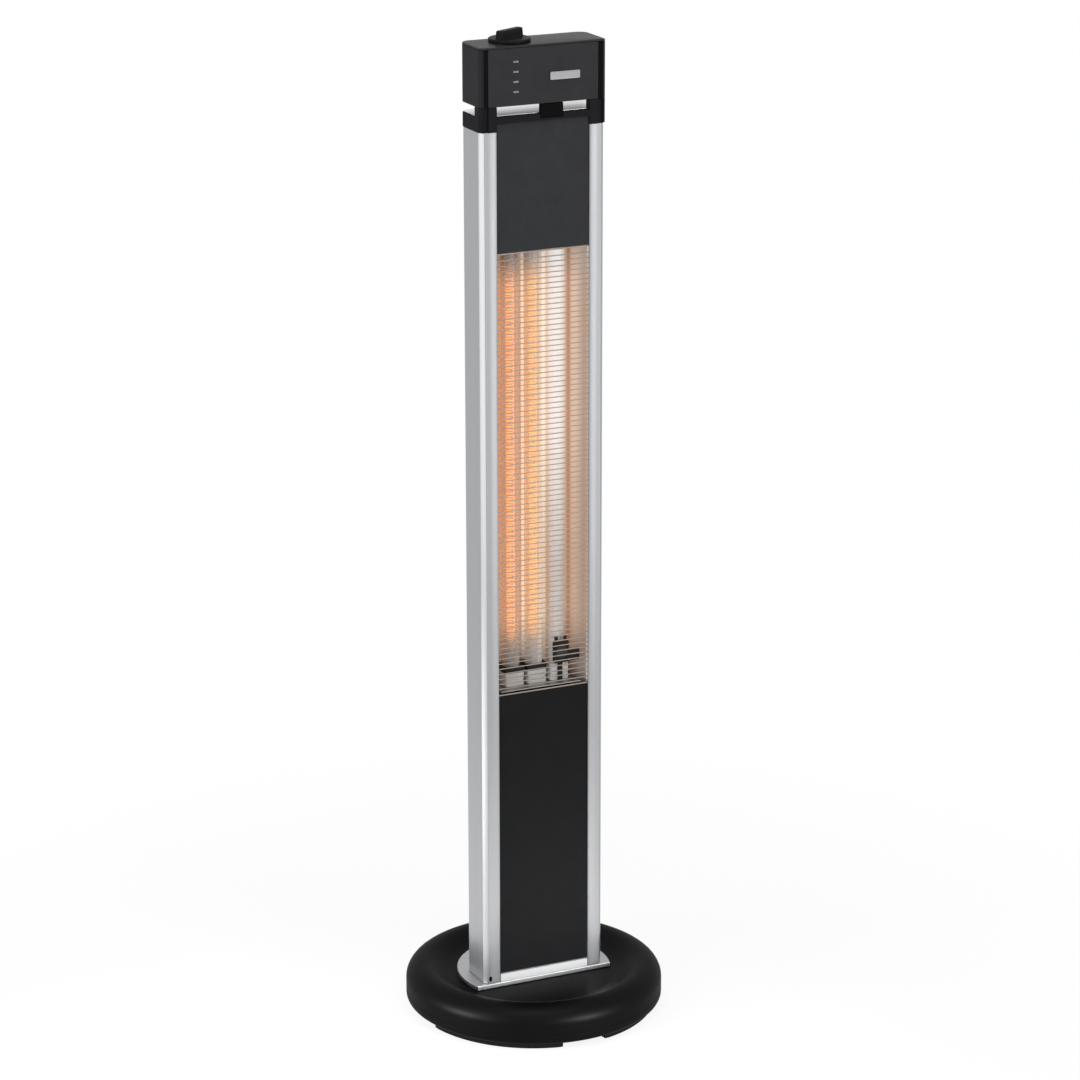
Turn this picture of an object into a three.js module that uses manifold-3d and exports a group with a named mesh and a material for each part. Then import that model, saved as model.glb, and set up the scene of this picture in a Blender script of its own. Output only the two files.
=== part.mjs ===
// Infrared patio heater tower: a round base, a slim aluminium column with three quartz
// tubes behind a wire grille, and a control head that stands clear of the hot column.
// Millimetres. Origin on the floor under the middle of the base, front towards -Y, +Z up.

import * as THREE from 'three';
import { mergeVertices } from 'three/addons/utils/BufferGeometryUtils.js';
import Module from 'manifold-3d';

const wasm = await Module();
wasm.setup();

// ---------------------------------------------------------------- driving dimensions

const SEAT_GAP = 0.3; // between pieces that touch
const BORE_GAP = 0.3; // radial, between a pin and its hole

// Base
const BASE_RADIUS = 150;
const BASE_CREST_HEIGHT = 51; // highest ring of the base cover
const BASE_SEAT_HEIGHT = 37; // shallow seat in the middle, under the foot plate
const BASE_SHOULDER_RADIAL = 16;
const BASE_SHOULDER_DROP = 13;
const BASE_HEM_RADIUS = 7;
const BASE_WALL = 3;
const BASE_CABLE_HOLE_RADIUS = 12;
const BOTTOM_PLATE_THICKNESS = 2.5;
const FOOT_HEIGHT = 7;
const FOOT_INSET = 9; // rim of the base to the outer edge of its feet
const FOOT_WIDTH = 16;
const FOOT_ARC_ANGLE = THREE.MathUtils.degToRad(68);
const BALLAST_INSET = 56; // rim of the base to the edge of the ballast disc
const BALLAST_BORE_RADIUS = 24;

// Foot plate and its bolts
const FOOT_PLATE_RADIUS = 90;
const FOOT_PLATE_THICKNESS = 5.7;
const BOLT_RADIUS = 3;
const BOLT_HEAD_RADIUS = 6;
const BOLT_HEAD_HEIGHT = 5;
const BOLT_FROM_COLUMN_SIDE = 25.5;
const BOLT_SPREAD_Y = 18;

// Tip-over switch
const PLUNGER_RADIUS = 5;
const PLUNGER_FLANGE_RADIUS = 7;
const PLUNGER_FLANGE_HEIGHT = 2;
const PLUNGER_STEM_RADIUS = 3;
const PLUNGER_STEM_LENGTH = 6;
const PLUNGER_TRAVEL = 8;
const PLUNGER_FLOOR_GAP = 0.3;
const PLUNGER_INSET = 38; // rim of the base to the plunger's axis
const TIP_SWITCH_WALL = 4;
const TIP_SWITCH_ROOF = 5;

// Column
const COLUMN_WIDTH = 151;
const COLUMN_DEPTH = 56;
const COLUMN_FRONT_Y = -30;
const COLUMN_TOP = 1045;
const PROFILE_WALL = 2.2;
const FRONT_CORNER_RADIUS = 5;
const BACK_CORNER_RADIUS = 12;
const FLANGE_WIDTH = 19.5;
const BACK_LIP_WIDTH = 22;
const DRAIN_SLOT_WIDTH = 3.5; // in the left profile's front flange
const DRAIN_SLOT_HEIGHT = 6;
const DRAIN_SLOT_RISE = 3;
const RAIL_TOP = 53;
const RAIL_DEPTH = 12;
const PANEL_THICKNESS = 1.5;
const PANEL_TUCK = 4; // how far panels and grille reach behind the flanges
const WINDOW_BOTTOM = 394;
const WINDOW_TOP = 909;
const UPPER_PANEL_LAP = 8.5; // how far the upper panel reaches into the collar

// Rear cover
const REAR_COVER_THICKNESS = 1.2;
const REAR_COVER_TUCK = 8;
const VENT_WIDTH = 60;
const VENT_HEIGHT = 4;
const VENT_PITCH = 10;
const VENT_COUNT = 6;
const LOWER_VENT_DROP = 94; // window's lower edge down to the lowest slot
const UPPER_VENT_DROP = 80; // column's top down to the lowest slot of the upper row
const SCREW_RADIUS = 1.7;
const SCREW_HEAD_RADIUS = 3.6;
const SCREW_HEAD_HEIGHT = 2;
const SCREW_LENGTH = 8;
const SCREW_FROM_LIP_EDGE = 4;
const SCREW_END_MARGIN = 40;
const SCREWS_PER_SIDE = 2;

// Grille
const GRILLE_PITCH = 6;
const GRILLE_WIRE = 1.5;
const GRILLE_BORDER = 2.5;

// Elements and reflector
const TUBE_COUNT = 3;
const TUBE_PITCH = 28;
const TUBE_RADIUS = 10;
const TUBE_WALL = 1.5;
const COIL_RADIUS = 5;
const ELEMENT_Y = 0;
const CAP_SIZE = 24;
const CAP_HEIGHT = 20.5;
const CAP_FLOOR = 6.5;
const LOWER_CAP_RISE = 3.5; // window's lower edge up to the lower caps
const UPPER_CAP_RISE = 3; // window's upper edge up to the upper caps
const REFLECTOR_SHEET = 1;
const REFLECTOR_MOUTH_WIDTH = 104;
const REFLECTOR_BACK_WIDTH = 93;
const REFLECTOR_BACK_Y = 13;
const REFLECTOR_RETURN = 7;
const REFLECTOR_LAP_BELOW = 9; // how far it runs on behind the lower panel
const REFLECTOR_LAP_ABOVE = 36; // and behind the upper panel
const BRACKET_SHEET = 1.2;
const BRACKET_FRONT_MARGIN = 3;
const CUTOUT_WIDTH = 19;
const CUTOUT_DEPTH = 5;
const CUTOUT_RISE = 26; // window's lower edge up to its body
const CUTOUT_HEIGHT = 26;
const CUTOUT_STEM_WIDTH = 6;

// Collar, head and their air gap
const HEAD_OVERHANG = 0.5; // how far collar and head stand proud of the column
const COLLAR_HEIGHT = 16;
const COLLAR_WALL = 12;
const COLLAR_PLUG_DEPTH = 12;
const AIR_GAP = 11.5;
const POST_FRONT_DEPTH = 10;
const POST_SIDE_DEPTH = 15;
const HEAD_HEIGHT = 66.5;
const HEAD_WALL = 2.5;
const HEAD_COVER_THICKNESS = 3;
const HEAD_EDGE_BEVEL = 1.2;
const HEAD_STRIP_WIDTH = 4.4; // corner strip beside each dark groove
const GROOVE_WIDTH = 5.6;
const FASCIA_THICKNESS = 2.2;
const WINDOW_BLOCK_WIDTH = 27.5;
const WINDOW_BLOCK_X = 10;
const WINDOW_BLOCK_DEPTH = 5;
const WINDOW_BLOCK_LAP = 4.5; // how far it hangs in front of the collar
const STEM_WIDTH = 18;
const STEM_DEPTH = 15;
const STEM_X = 21;
const STEM_Y = -2.5;
const STEM_BORE_RADIUS = 4;
const SHIELD_SHEET = 1;
const SHIELD_EDGE_MARGIN = 2;

// Controls on the head
const KNOB_X = -28;
const KNOB_REST_ANGLE = THREE.MathUtils.degToRad(27); // its second power level
const KNOB_RADIUS = 23.5;
const KNOB_SKIRT_HEIGHT = 3.5;
const KNOB_GRIP_HEIGHT = 12.7;
const KNOB_GRIP_LENGTH = 39;
const KNOB_GRIP_WIDTH = 10;
const KNOB_SHAFT_RADIUS = 3;
const KNOB_SHAFT_LENGTH = 30;
const KNOB_ROOF = 4;
const SWITCH_SIZE = 27;
const SWITCH_HEIGHT = 20;
const INDICATOR_COUNT = 4;
const INDICATOR_X = -33;
const INDICATOR_RISE = 15.2; // head's lower edge up to the first one
const INDICATOR_PITCH = 11;
const INDICATOR_WIDTH = 7;
const INDICATOR_HEIGHT = 2.6;
const BADGE_X = 25.5;
const BADGE_RISE = 29.8;
const BADGE_WIDTH = 36;
const BADGE_HEIGHT = 9;
const BADGE_THICKNESS = 0.8;
const BOARD_THICKNESS = 1.6;
const BOARD_WIDTH = 110;
const BOARD_HEIGHT = 48;

// Supply
const TERMINAL_WIDTH = 44;
const TERMINAL_DEPTH = 14;
const TERMINAL_HEIGHT = 22;
const TERMINAL_X = -24;
const TERMINAL_Z = 66;
const GLAND_X = 26;
const GLAND_Z = 76;
const GLAND_BODY_RADIUS = 6;
const GLAND_HEAD_RADIUS = 9;
const GLAND_HEAD_LENGTH = 9;
const GLAND_INNER_LENGTH = 12;
const GLAND_BORE_RADIUS = 3.6;
const LOOM_RADIUS = 2.5;
const LOOM_FROM_COLUMN_SIDE = 13.5;
const LOOM_Y = 10;

// ---------------------------------------------------------------- derived places

const FOOT_OUTER_RADIUS = BASE_RADIUS - FOOT_INSET;
const BALLAST_RADIUS = BASE_RADIUS - BALLAST_INSET;
const PLUNGER_FROM_AXIS = BASE_RADIUS - PLUNGER_INSET;
const HALF_WIDTH = COLUMN_WIDTH / 2;
const COLUMN_BACK_Y = COLUMN_FRONT_Y + COLUMN_DEPTH;
const FLANGE_EDGE_X = HALF_WIDTH - FLANGE_WIDTH;
const LIP_EDGE_X = HALF_WIDTH - BACK_LIP_WIDTH;
const BOLT_SPREAD_X = HALF_WIDTH - BOLT_FROM_COLUMN_SIDE;
const LOOM_X = HALF_WIDTH - LOOM_FROM_COLUMN_SIDE;
const BOTTOM_PLATE_TOP = FOOT_HEIGHT + BOTTOM_PLATE_THICKNESS;
const FOOT_PLATE_BOTTOM = BASE_SEAT_HEIGHT + SEAT_GAP;
const FOOT_PLATE_TOP = FOOT_PLATE_BOTTOM + FOOT_PLATE_THICKNESS;
const PROFILE_BOTTOM = FOOT_PLATE_TOP + SEAT_GAP;
const PANEL_FRONT_Y = COLUMN_FRONT_Y + PROFILE_WALL + SEAT_GAP;
const PANEL_BACK_Y = PANEL_FRONT_Y + PANEL_THICKNESS;
const PANEL_HALF_WIDTH = FLANGE_EDGE_X + PANEL_TUCK;
const REAR_COVER_OUTER_Y = COLUMN_BACK_Y - PROFILE_WALL - SEAT_GAP;
const REAR_COVER_INNER_Y = REAR_COVER_OUTER_Y - REAR_COVER_THICKNESS;
const REFLECTOR_FRONT_Y = PANEL_BACK_Y + SEAT_GAP;
const REFLECTOR_BOTTOM = WINDOW_BOTTOM - REFLECTOR_LAP_BELOW;
const REFLECTOR_TOP = WINDOW_TOP + REFLECTOR_LAP_ABOVE;
const LOWER_CAP_Z = WINDOW_BOTTOM + LOWER_CAP_RISE;
const UPPER_CAP_Z = WINDOW_TOP + UPPER_CAP_RISE;
const CUTOUT_BOTTOM = WINDOW_BOTTOM + CUTOUT_RISE;
const LOWER_VENT_Z = WINDOW_BOTTOM - LOWER_VENT_DROP;
const UPPER_VENT_Z = COLUMN_TOP - UPPER_VENT_DROP;
const UPPER_PANEL_TOP = COLUMN_TOP + UPPER_PANEL_LAP;
const COLLAR_BOTTOM = COLUMN_TOP + SEAT_GAP;
const COLLAR_TOP = COLUMN_TOP + COLLAR_HEIGHT;
const HEAD_BOTTOM = COLLAR_TOP + AIR_GAP;
const HEAD_TOP = HEAD_BOTTOM + HEAD_HEIGHT;
const HEAD_BODY_TOP = HEAD_TOP - HEAD_COVER_THICKNESS - SEAT_GAP;
const HEAD_HALF_WIDTH = HALF_WIDTH + HEAD_OVERHANG;
const HEAD_FRONT_Y = COLUMN_FRONT_Y - HEAD_OVERHANG;
const HEAD_BACK_Y = COLUMN_BACK_Y + HEAD_OVERHANG;
const RECESS_HALF_WIDTH = HEAD_HALF_WIDTH - HEAD_STRIP_WIDTH;
const RECESS_Y = HEAD_FRONT_Y + FASCIA_THICKNESS + SEAT_GAP;
const FASCIA_HALF_WIDTH = RECESS_HALF_WIDTH - GROOVE_WIDTH;
const KNOB_BOTTOM = HEAD_TOP + SEAT_GAP;
const KNOB_Y = (HEAD_FRONT_Y + HEAD_BACK_Y) / 2;
const BOLT_PLACES = [-1, 1].flatMap((i) => [-1, 1].map((j) => [i * BOLT_SPREAD_X, j * BOLT_SPREAD_Y]));

// ---------------------------------------------------------------- materials

const finish = (color, roughness, metalness) =>
  new THREE.MeshStandardMaterial({ color, roughness, metalness });

const blackPlastic = () => finish(0x1d1d1f, 0.5, 0);
const glossBlack = () => finish(0x08080a, 0.12, 0);
const rubber = () => finish(0x141414, 0.85, 0);
const aluminium = () => finish(0xb9bcc0, 0.35, 0.9);
const polishedAluminium = () => finish(0xd8d8d8, 0.15, 1);
const steel = () => finish(0x9a9c9f, 0.4, 1);
const castIron = () => finish(0x3b3b3d, 0.8, 0.6);
const panelPaint = () => finish(0x2c2d30, 0.55, 0.2);
const lowerPanelPaint = () => finish(0x1f2022, 0.5, 0.2);
const quartz = () => finish(0xefe6df, 0.1, 0);
const litCoil = () => finish(0xff9a55, 0.6, 0);
const coldCoil = () => finish(0x8c8681, 0.6, 0.5);
const ceramic = () => finish(0xe6e2da, 0.7, 0);
const boardGreen = () => finish(0x1f5a36, 0.6, 0);
const lens = () => finish(0xd9d9d9, 0.3, 0);

// ---------------------------------------------------------------- geometry helpers

function signedVolume(geometry) {
  const p = geometry.attributes.position;
  const corner = (i) => new THREE.Vector3().fromBufferAttribute(p, geometry.index ? geometry.index.getX(i) : i);
  const count = geometry.index ? geometry.index.count : p.count;
  let volume = 0;
  for (let i = 0; i < count; i += 3) {
    volume += corner(i).dot(corner(i + 1).cross(corner(i + 2))) / 6;
  }
  return volume;
}

// A merged, indexed copy with position only, its empty triangles dropped and its faces out.
function closed(geometry) {
  const bare = geometry.clone();
  for (const name of Object.keys(bare.attributes)) {
    if (name !== 'position') bare.deleteAttribute(name);
  }
  const merged = mergeVertices(bare, 1e-4);
  const flip = signedVolume(merged) < 0;
  const old = merged.index.array;
  const kept = [];
  for (let i = 0; i < old.length; i += 3) {
    const [a, b, c] = [old[i], old[i + 1], old[i + 2]];
    if (a === b || b === c || c === a) continue;
    kept.push(...(flip ? [a, c, b] : [a, b, c]));
  }
  merged.setIndex(kept);
  return merged;
}

function toSolid(geometry) {
  const mesh = closed(geometry);
  return new wasm.Manifold(new wasm.Mesh({
    numProp: 3,
    vertProperties: Float32Array.from(mesh.attributes.position.array),
    triVerts: Uint32Array.from(mesh.index.array),
  }));
}

function fromSolid(solid) {
  const mesh = solid.getMesh();
  const geometry = new THREE.BufferGeometry();
  geometry.setAttribute('position', new THREE.BufferAttribute(new Float32Array(mesh.vertProperties), 3));
  geometry.setIndex([...mesh.triVerts]);
  return geometry;
}

const cut = (body, tools) =>
  fromSolid(tools.reduce((solid, tool) => solid.subtract(toSolid(tool)), toSolid(body)));

const join = (pieces) =>
  fromSolid(pieces.slice(1).reduce((solid, next) => solid.add(toSolid(next)), toSolid(pieces[0])));

function block(x, y, z) {
  const size = [x, y, z].map(([low, high]) => high - low);
  const middle = [x, y, z].map(([low, high]) => (low + high) / 2);
  return new THREE.BoxGeometry(...size).translate(...middle);
}

function prism(shape, low, high, curveSegments = 6) {
  const options = { depth: high - low, bevelEnabled: false, curveSegments };
  return new THREE.ExtrudeGeometry(shape, options).translate(0, 0, low);
}

// A shape drawn in X and Z, extruded towards +Y from the plane y.
function frontPlate(shape, y, thickness) {
  return new THREE.ExtrudeGeometry(shape, { depth: thickness, bevelEnabled: false })
    .rotateX(Math.PI / 2).translate(0, y + thickness, 0);
}

function cylinder(radius, low, high, segments = 16) {
  return new THREE.CylinderGeometry(radius, radius, high - low, segments)
    .rotateX(Math.PI / 2).translate(0, 0, (low + high) / 2);
}

// Turns a profile of [radius, z] points about +Z.
function revolve(profile, segments) {
  const points = profile.map(([r, z]) => new THREE.Vector2(r, z));
  return closed(new THREE.LatheGeometry(points, segments).rotateX(Math.PI / 2));
}

// A ring profile repeats its first point at its end.
const ring = (profile, segments) => revolve([...profile, profile[0]], segments);

// Quarter of an ellipse between two angles in degrees, as [x, y] points.
function arc(cx, cy, rx, ry, from, to, steps) {
  return Array.from({ length: steps + 1 }, (_, i) => {
    const angle = THREE.MathUtils.degToRad(from + ((to - from) * i) / steps);
    return [cx + rx * Math.cos(angle), cy + ry * Math.sin(angle)];
  });
}

const shapeOf = (points) => new THREE.Shape(points.map(([x, y]) => new THREE.Vector2(x, y)));
const mirrored = (points) => points.map(([x, y]) => [-x, y]);

function rectangle(x, y) {
  return [[x[0], y[0]], [x[1], y[0]], [x[1], y[1]], [x[0], y[1]]];
}

// Outline of the column or head seen from above, with small front and large back corners.
function towerOutline(halfWidth, frontY, backY, frontRadius, backRadius) {
  const f = frontRadius;
  const b = backRadius;
  return [
    ...arc(halfWidth - f, frontY + f, f, f, -90, 0, 3),
    ...arc(halfWidth - b, backY - b, b, b, 0, 90, 5),
    ...arc(b - halfWidth, backY - b, b, b, 90, 180, 5),
    ...arc(f - halfWidth, frontY + f, f, f, 180, 270, 3),
  ];
}

// Closed outline of a sheet of even thickness that follows a path on its left side.
function sheetOutline(path, thickness) {
  const normals = path.slice(1).map(([x, y], i) => {
    const [dx, dy] = [x - path[i][0], y - path[i][1]];
    const length = Math.hypot(dx, dy);
    return [-dy / length, dx / length];
  });
  const inner = path.map(([x, y], i) => {
    const a = normals[Math.max(i - 1, 0)];
    const b = normals[Math.min(i, normals.length - 1)];
    const scale = thickness / (1 + a[0] * b[0] + a[1] * b[1]);
    return [x + (a[0] + b[0]) * scale, y + (a[1] + b[1]) * scale];
  });
  return [...path, ...inner.reverse()];
}

const heater = new THREE.Group();

function add(name, geometry, material) {
  const mesh = new THREE.Mesh(geometry, material);
  mesh.name = name;
  heater.add(mesh);
  return mesh;
}

// ---------------------------------------------------------------- base

const boltHoles = () => BOLT_PLACES.map(([x, y]) =>
  cylinder(BOLT_RADIUS + BORE_GAP, 0, PROFILE_BOTTOM, 10).translate(x, y, 0));

// Top line of the base cover from the seat out to the hem, lowered by an inset.
function baseTopLine(inset) {
  const seatRadius = FOOT_PLATE_RADIUS + BASE_WALL + 2 * SEAT_GAP + inset;
  const crestRadius = BASE_RADIUS - BASE_SHOULDER_RADIAL;
  const rise = BASE_CREST_HEIGHT - BASE_SEAT_HEIGHT;
  const dish = Array.from({ length: 6 }, (_, i) => {
    const share = i / 6;
    const height = BASE_SEAT_HEIGHT + (rise * (1 - Math.cos(Math.PI * share))) / 2;
    return [seatRadius + (crestRadius - seatRadius) * share, height - inset];
  });
  const shoulder = arc(
    crestRadius, BASE_CREST_HEIGHT - BASE_SHOULDER_DROP,
    BASE_SHOULDER_RADIAL - inset, BASE_SHOULDER_DROP - inset, 90, 0, 5);
  return [...dish, ...shoulder];
}

function addBase() {
  const hem = arc(
    BASE_RADIUS - BASE_HEM_RADIUS, FOOT_HEIGHT + BASE_HEM_RADIUS,
    BASE_HEM_RADIUS, BASE_HEM_RADIUS, 0, -90, 3);
  const hemInnerRadius = BASE_RADIUS - BASE_HEM_RADIUS - BASE_WALL;
  const underside = baseTopLine(BASE_WALL).reverse();
  const cover = ring([
    [BASE_CABLE_HOLE_RADIUS, BASE_SEAT_HEIGHT],
    ...baseTopLine(0),
    ...hem,
    [hemInnerRadius, FOOT_HEIGHT],
    [hemInnerRadius, BOTTOM_PLATE_TOP + SEAT_GAP],
    [BASE_RADIUS - BASE_WALL, BOTTOM_PLATE_TOP + BASE_HEM_RADIUS],
    ...underside,
    [BASE_CABLE_HOLE_RADIUS, BASE_SEAT_HEIGHT - BASE_WALL],
  ], 48);
  add('base_cover', cut(cover, boltHoles()), blackPlastic());

  const plate = cylinder(hemInnerRadius - SEAT_GAP, FOOT_HEIGHT, BOTTOM_PLATE_TOP, 40);
  const plungerHole = cylinder(PLUNGER_RADIUS + BORE_GAP, 0, BASE_SEAT_HEIGHT, 16)
    .translate(0, PLUNGER_FROM_AXIS, 0);
  add('base_bottom_plate', cut(plate, [plungerHole]), steel());

  const ballastBottom = BOTTOM_PLATE_TOP + SEAT_GAP;
  const ballastTop = BASE_SEAT_HEIGHT - BASE_WALL - SEAT_GAP;
  const ballast = ring(
    rectangle([BALLAST_BORE_RADIUS, BALLAST_RADIUS], [ballastBottom, ballastTop]), 36);
  const headPockets = BOLT_PLACES.map(([x, y]) =>
    cylinder(BOLT_HEAD_RADIUS + BORE_GAP, 0, ballastBottom + BOLT_HEAD_HEIGHT + SEAT_GAP, 12)
      .translate(x, y, 0));
  add('base_ballast', cut(ballast, [...boltHoles(), ...headPockets]), castIron());

  BOLT_PLACES.forEach(([x, y], i) => {
    const headTop = ballastBottom + BOLT_HEAD_HEIGHT;
    const bolt = revolve([
      [0, ballastBottom], [BOLT_HEAD_RADIUS, ballastBottom], [BOLT_HEAD_RADIUS, headTop],
      [BOLT_RADIUS, headTop], [BOLT_RADIUS, FOOT_PLATE_TOP - SEAT_GAP],
      [0, FOOT_PLATE_TOP - SEAT_GAP],
    ], 10);
    add(`base_bolt_${i + 1}`, bolt, steel()).position.set(x, y, 0);
  });

  const innerRadius = FOOT_OUTER_RADIUS - FOOT_WIDTH;
  for (let i = 0; i < 4; i += 1) {
    const middle = Math.PI / 4 + (i * Math.PI) / 2;
    const [from, to] = [middle - FOOT_ARC_ANGLE / 2, middle + FOOT_ARC_ANGLE / 2];
    const foot = new THREE.Shape();
    foot.absarc(0, 0, FOOT_OUTER_RADIUS, from, to, false);
    foot.absarc(0, 0, innerRadius, to, from, true);
    add(`foot_arc_${i + 1}`, prism(foot, 0, FOOT_HEIGHT - SEAT_GAP, 10), rubber());
  }
}

function addTipSwitch() {
  const flangeBottom = BOTTOM_PLATE_TOP + SEAT_GAP + PLUNGER_TRAVEL;
  const flangeTop = flangeBottom + PLUNGER_FLANGE_HEIGHT;
  const stemTop = flangeTop + PLUNGER_STEM_LENGTH;
  const plunger = revolve([
    [0, PLUNGER_FLOOR_GAP], [PLUNGER_RADIUS, PLUNGER_FLOOR_GAP], [PLUNGER_RADIUS, flangeBottom],
    [PLUNGER_FLANGE_RADIUS, flangeBottom], [PLUNGER_FLANGE_RADIUS, flangeTop],
    [PLUNGER_STEM_RADIUS, flangeTop], [PLUNGER_STEM_RADIUS, stemTop], [0, stemTop],
  ], 16);
  add('tip_plunger', plunger, steel()).position.set(0, PLUNGER_FROM_AXIS, 0);

  const half = PLUNGER_FLANGE_RADIUS + BORE_GAP + TIP_SWITCH_WALL;
  const housing = block([-half, half], [-half, half],
    [BOTTOM_PLATE_TOP + SEAT_GAP, stemTop + SEAT_GAP + TIP_SWITCH_ROOF]);
  const flangeBore = cylinder(PLUNGER_FLANGE_RADIUS + BORE_GAP, 0, flangeTop + SEAT_GAP, 16);
  const stemBore = cylinder(PLUNGER_STEM_RADIUS + BORE_GAP, 0, stemTop + SEAT_GAP, 12);
  add('tip_switch', cut(housing, [flangeBore, stemBore]), blackPlastic())
    .position.set(0, PLUNGER_FROM_AXIS, 0);
}

function addFootPlate() {
  const half = Math.acos(-COLUMN_FRONT_Y / FOOT_PLATE_RADIUS);
  const outline = new THREE.Shape();
  outline.absarc(0, 0, FOOT_PLATE_RADIUS, half - Math.PI / 2, (3 * Math.PI) / 2 - half, false);
  const plate = prism(outline, FOOT_PLATE_BOTTOM, FOOT_PLATE_TOP, 30);
  const cableHole = cylinder(BASE_CABLE_HOLE_RADIUS, 0, PROFILE_BOTTOM, 16);
  add('foot_plate', cut(plate, [cableHole, ...boltHoles()]), aluminium());
}

// ---------------------------------------------------------------- column

const screwHeights = Array.from({ length: SCREWS_PER_SIDE }, (_, i) => {
  const low = PROFILE_BOTTOM + SCREW_END_MARGIN;
  const high = COLUMN_TOP - SCREW_END_MARGIN;
  return low + ((high - low) * i) / (SCREWS_PER_SIDE - 1);
});
const SCREW_X = LIP_EDGE_X + SCREW_FROM_LIP_EDGE;

function screwHoles(side) {
  return screwHeights.map((z) => cylinder(SCREW_RADIUS + BORE_GAP, -SCREW_LENGTH, SCREW_LENGTH, 8)
    .rotateX(Math.PI / 2).translate(side * SCREW_X, COLUMN_BACK_Y, z));
}

function addColumn() {
  const f = FRONT_CORNER_RADIUS;
  const b = BACK_CORNER_RADIUS;
  const path = [
    [FLANGE_EDGE_X, COLUMN_FRONT_Y],
    ...arc(HALF_WIDTH - f, COLUMN_FRONT_Y + f, f, f, -90, 0, 4),
    ...arc(HALF_WIDTH - b, COLUMN_BACK_Y - b, b, b, 0, 90, 6),
    [LIP_EDGE_X, COLUMN_BACK_Y],
  ];
  const outline = sheetOutline(path, PROFILE_WALL);
  const slotX = FRONT_CORNER_RADIUS - HALF_WIDTH;
  const slotZ = PROFILE_BOTTOM + DRAIN_SLOT_RISE;
  const drainSlot = block([slotX, slotX + DRAIN_SLOT_WIDTH],
    [COLUMN_FRONT_Y - 1, PANEL_BACK_Y], [slotZ, slotZ + DRAIN_SLOT_HEIGHT]);
  for (const [name, points, tools] of [
    ['side_profile_left', mirrored(outline), [...screwHoles(-1), drainSlot]],
    ['side_profile_right', outline, screwHoles(1)],
  ]) {
    const profile = prism(shapeOf(points), PROFILE_BOTTOM, COLUMN_TOP);
    add(name, cut(profile, tools), aluminium());
  }

  const railBack = COLUMN_FRONT_Y + RAIL_DEPTH;
  const lipFront = PANEL_BACK_Y + SEAT_GAP;
  const railHalf = FLANGE_EDGE_X - SEAT_GAP;
  const railShape = shapeOf([
    [COLUMN_FRONT_Y, PROFILE_BOTTOM], [railBack, PROFILE_BOTTOM], [railBack, RAIL_TOP + RAIL_DEPTH],
    [lipFront, RAIL_TOP + RAIL_DEPTH], [lipFront, RAIL_TOP], [COLUMN_FRONT_Y, RAIL_TOP],
  ]);
  const rail = new THREE.ExtrudeGeometry(railShape, { depth: 2 * railHalf, bevelEnabled: false })
    .rotateX(Math.PI / 2).rotateZ(Math.PI / 2).translate(-railHalf, 0, 0);
  add('bottom_rail', rail, aluminium());

  const panel = (low, high) => block(
    [-PANEL_HALF_WIDTH, PANEL_HALF_WIDTH], [PANEL_FRONT_Y, PANEL_BACK_Y], [low, high]);
  add('lower_front_panel', panel(RAIL_TOP + SEAT_GAP, WINDOW_BOTTOM), lowerPanelPaint());
  add('upper_front_panel', panel(WINDOW_TOP, UPPER_PANEL_TOP), panelPaint());
}

function addRearCover() {
  const half = LIP_EDGE_X + REAR_COVER_TUCK;
  const outline = shapeOf(rectangle([-half, half], [PROFILE_BOTTOM, COLUMN_TOP - SEAT_GAP]));
  for (const start of [LOWER_VENT_Z, UPPER_VENT_Z]) {
    for (let i = 0; i < VENT_COUNT; i += 1) {
      const z = start + i * VENT_PITCH;
      outline.holes.push(shapeOf(
        rectangle([-VENT_WIDTH / 2, VENT_WIDTH / 2], [z, z + VENT_HEIGHT])));
    }
  }
  const sheet = frontPlate(outline, REAR_COVER_INNER_Y, REAR_COVER_THICKNESS);
  const glandHole = cylinder(GLAND_BODY_RADIUS + BORE_GAP, -COLUMN_DEPTH, 0, 16)
    .rotateX(Math.PI / 2).translate(GLAND_X, 0, GLAND_Z);
  add('rear_cover', cut(sheet, [...screwHoles(-1), ...screwHoles(1), glandHole]), blackPlastic());

  const screw = revolve([
    [0, -SCREW_LENGTH], [SCREW_RADIUS, -SCREW_LENGTH], [SCREW_RADIUS, SEAT_GAP],
    [SCREW_HEAD_RADIUS, SEAT_GAP], [SCREW_HEAD_RADIUS - 1, SCREW_HEAD_HEIGHT],
    [0, SCREW_HEAD_HEIGHT],
  ], 8);
  let number = 0;
  for (const side of [-1, 1]) {
    for (const z of screwHeights) {
      number += 1;
      const mesh = add(`rear_screw_${number}`, screw.clone(), steel());
      mesh.position.set(side * SCREW_X, COLUMN_BACK_Y, z);
      mesh.rotation.x = -Math.PI / 2;
    }
  }
}

function addGrille() {
  const half = PANEL_HALF_WIDTH;
  const low = WINDOW_BOTTOM + SEAT_GAP;
  const high = WINDOW_TOP - SEAT_GAP;
  const outline = shapeOf(rectangle([-half, half], [low, high]));
  const count = Math.floor((high - low - GRILLE_WIRE) / GRILLE_PITCH);
  const start = (low + high - count * GRILLE_PITCH + GRILLE_WIRE) / 2;
  const inner = half - GRILLE_BORDER;
  for (let i = 0; i < count; i += 1) {
    const z = start + i * GRILLE_PITCH;
    outline.holes.push(shapeOf(rectangle([-inner, inner], [z, z + GRILLE_PITCH - GRILLE_WIRE])));
  }
  add('grille', frontPlate(outline, PANEL_FRONT_Y, PANEL_THICKNESS), steel());
}

// ---------------------------------------------------------------- heating elements

const tubePlaces = Array.from({ length: TUBE_COUNT }, (_, i) => (i - (TUBE_COUNT - 1) / 2) * TUBE_PITCH);
const LOWER_CAP_FLOOR_Z = LOWER_CAP_Z + CAP_FLOOR;
const UPPER_CAP_FLOOR_Z = UPPER_CAP_Z + CAP_HEIGHT - CAP_FLOOR;

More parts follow.
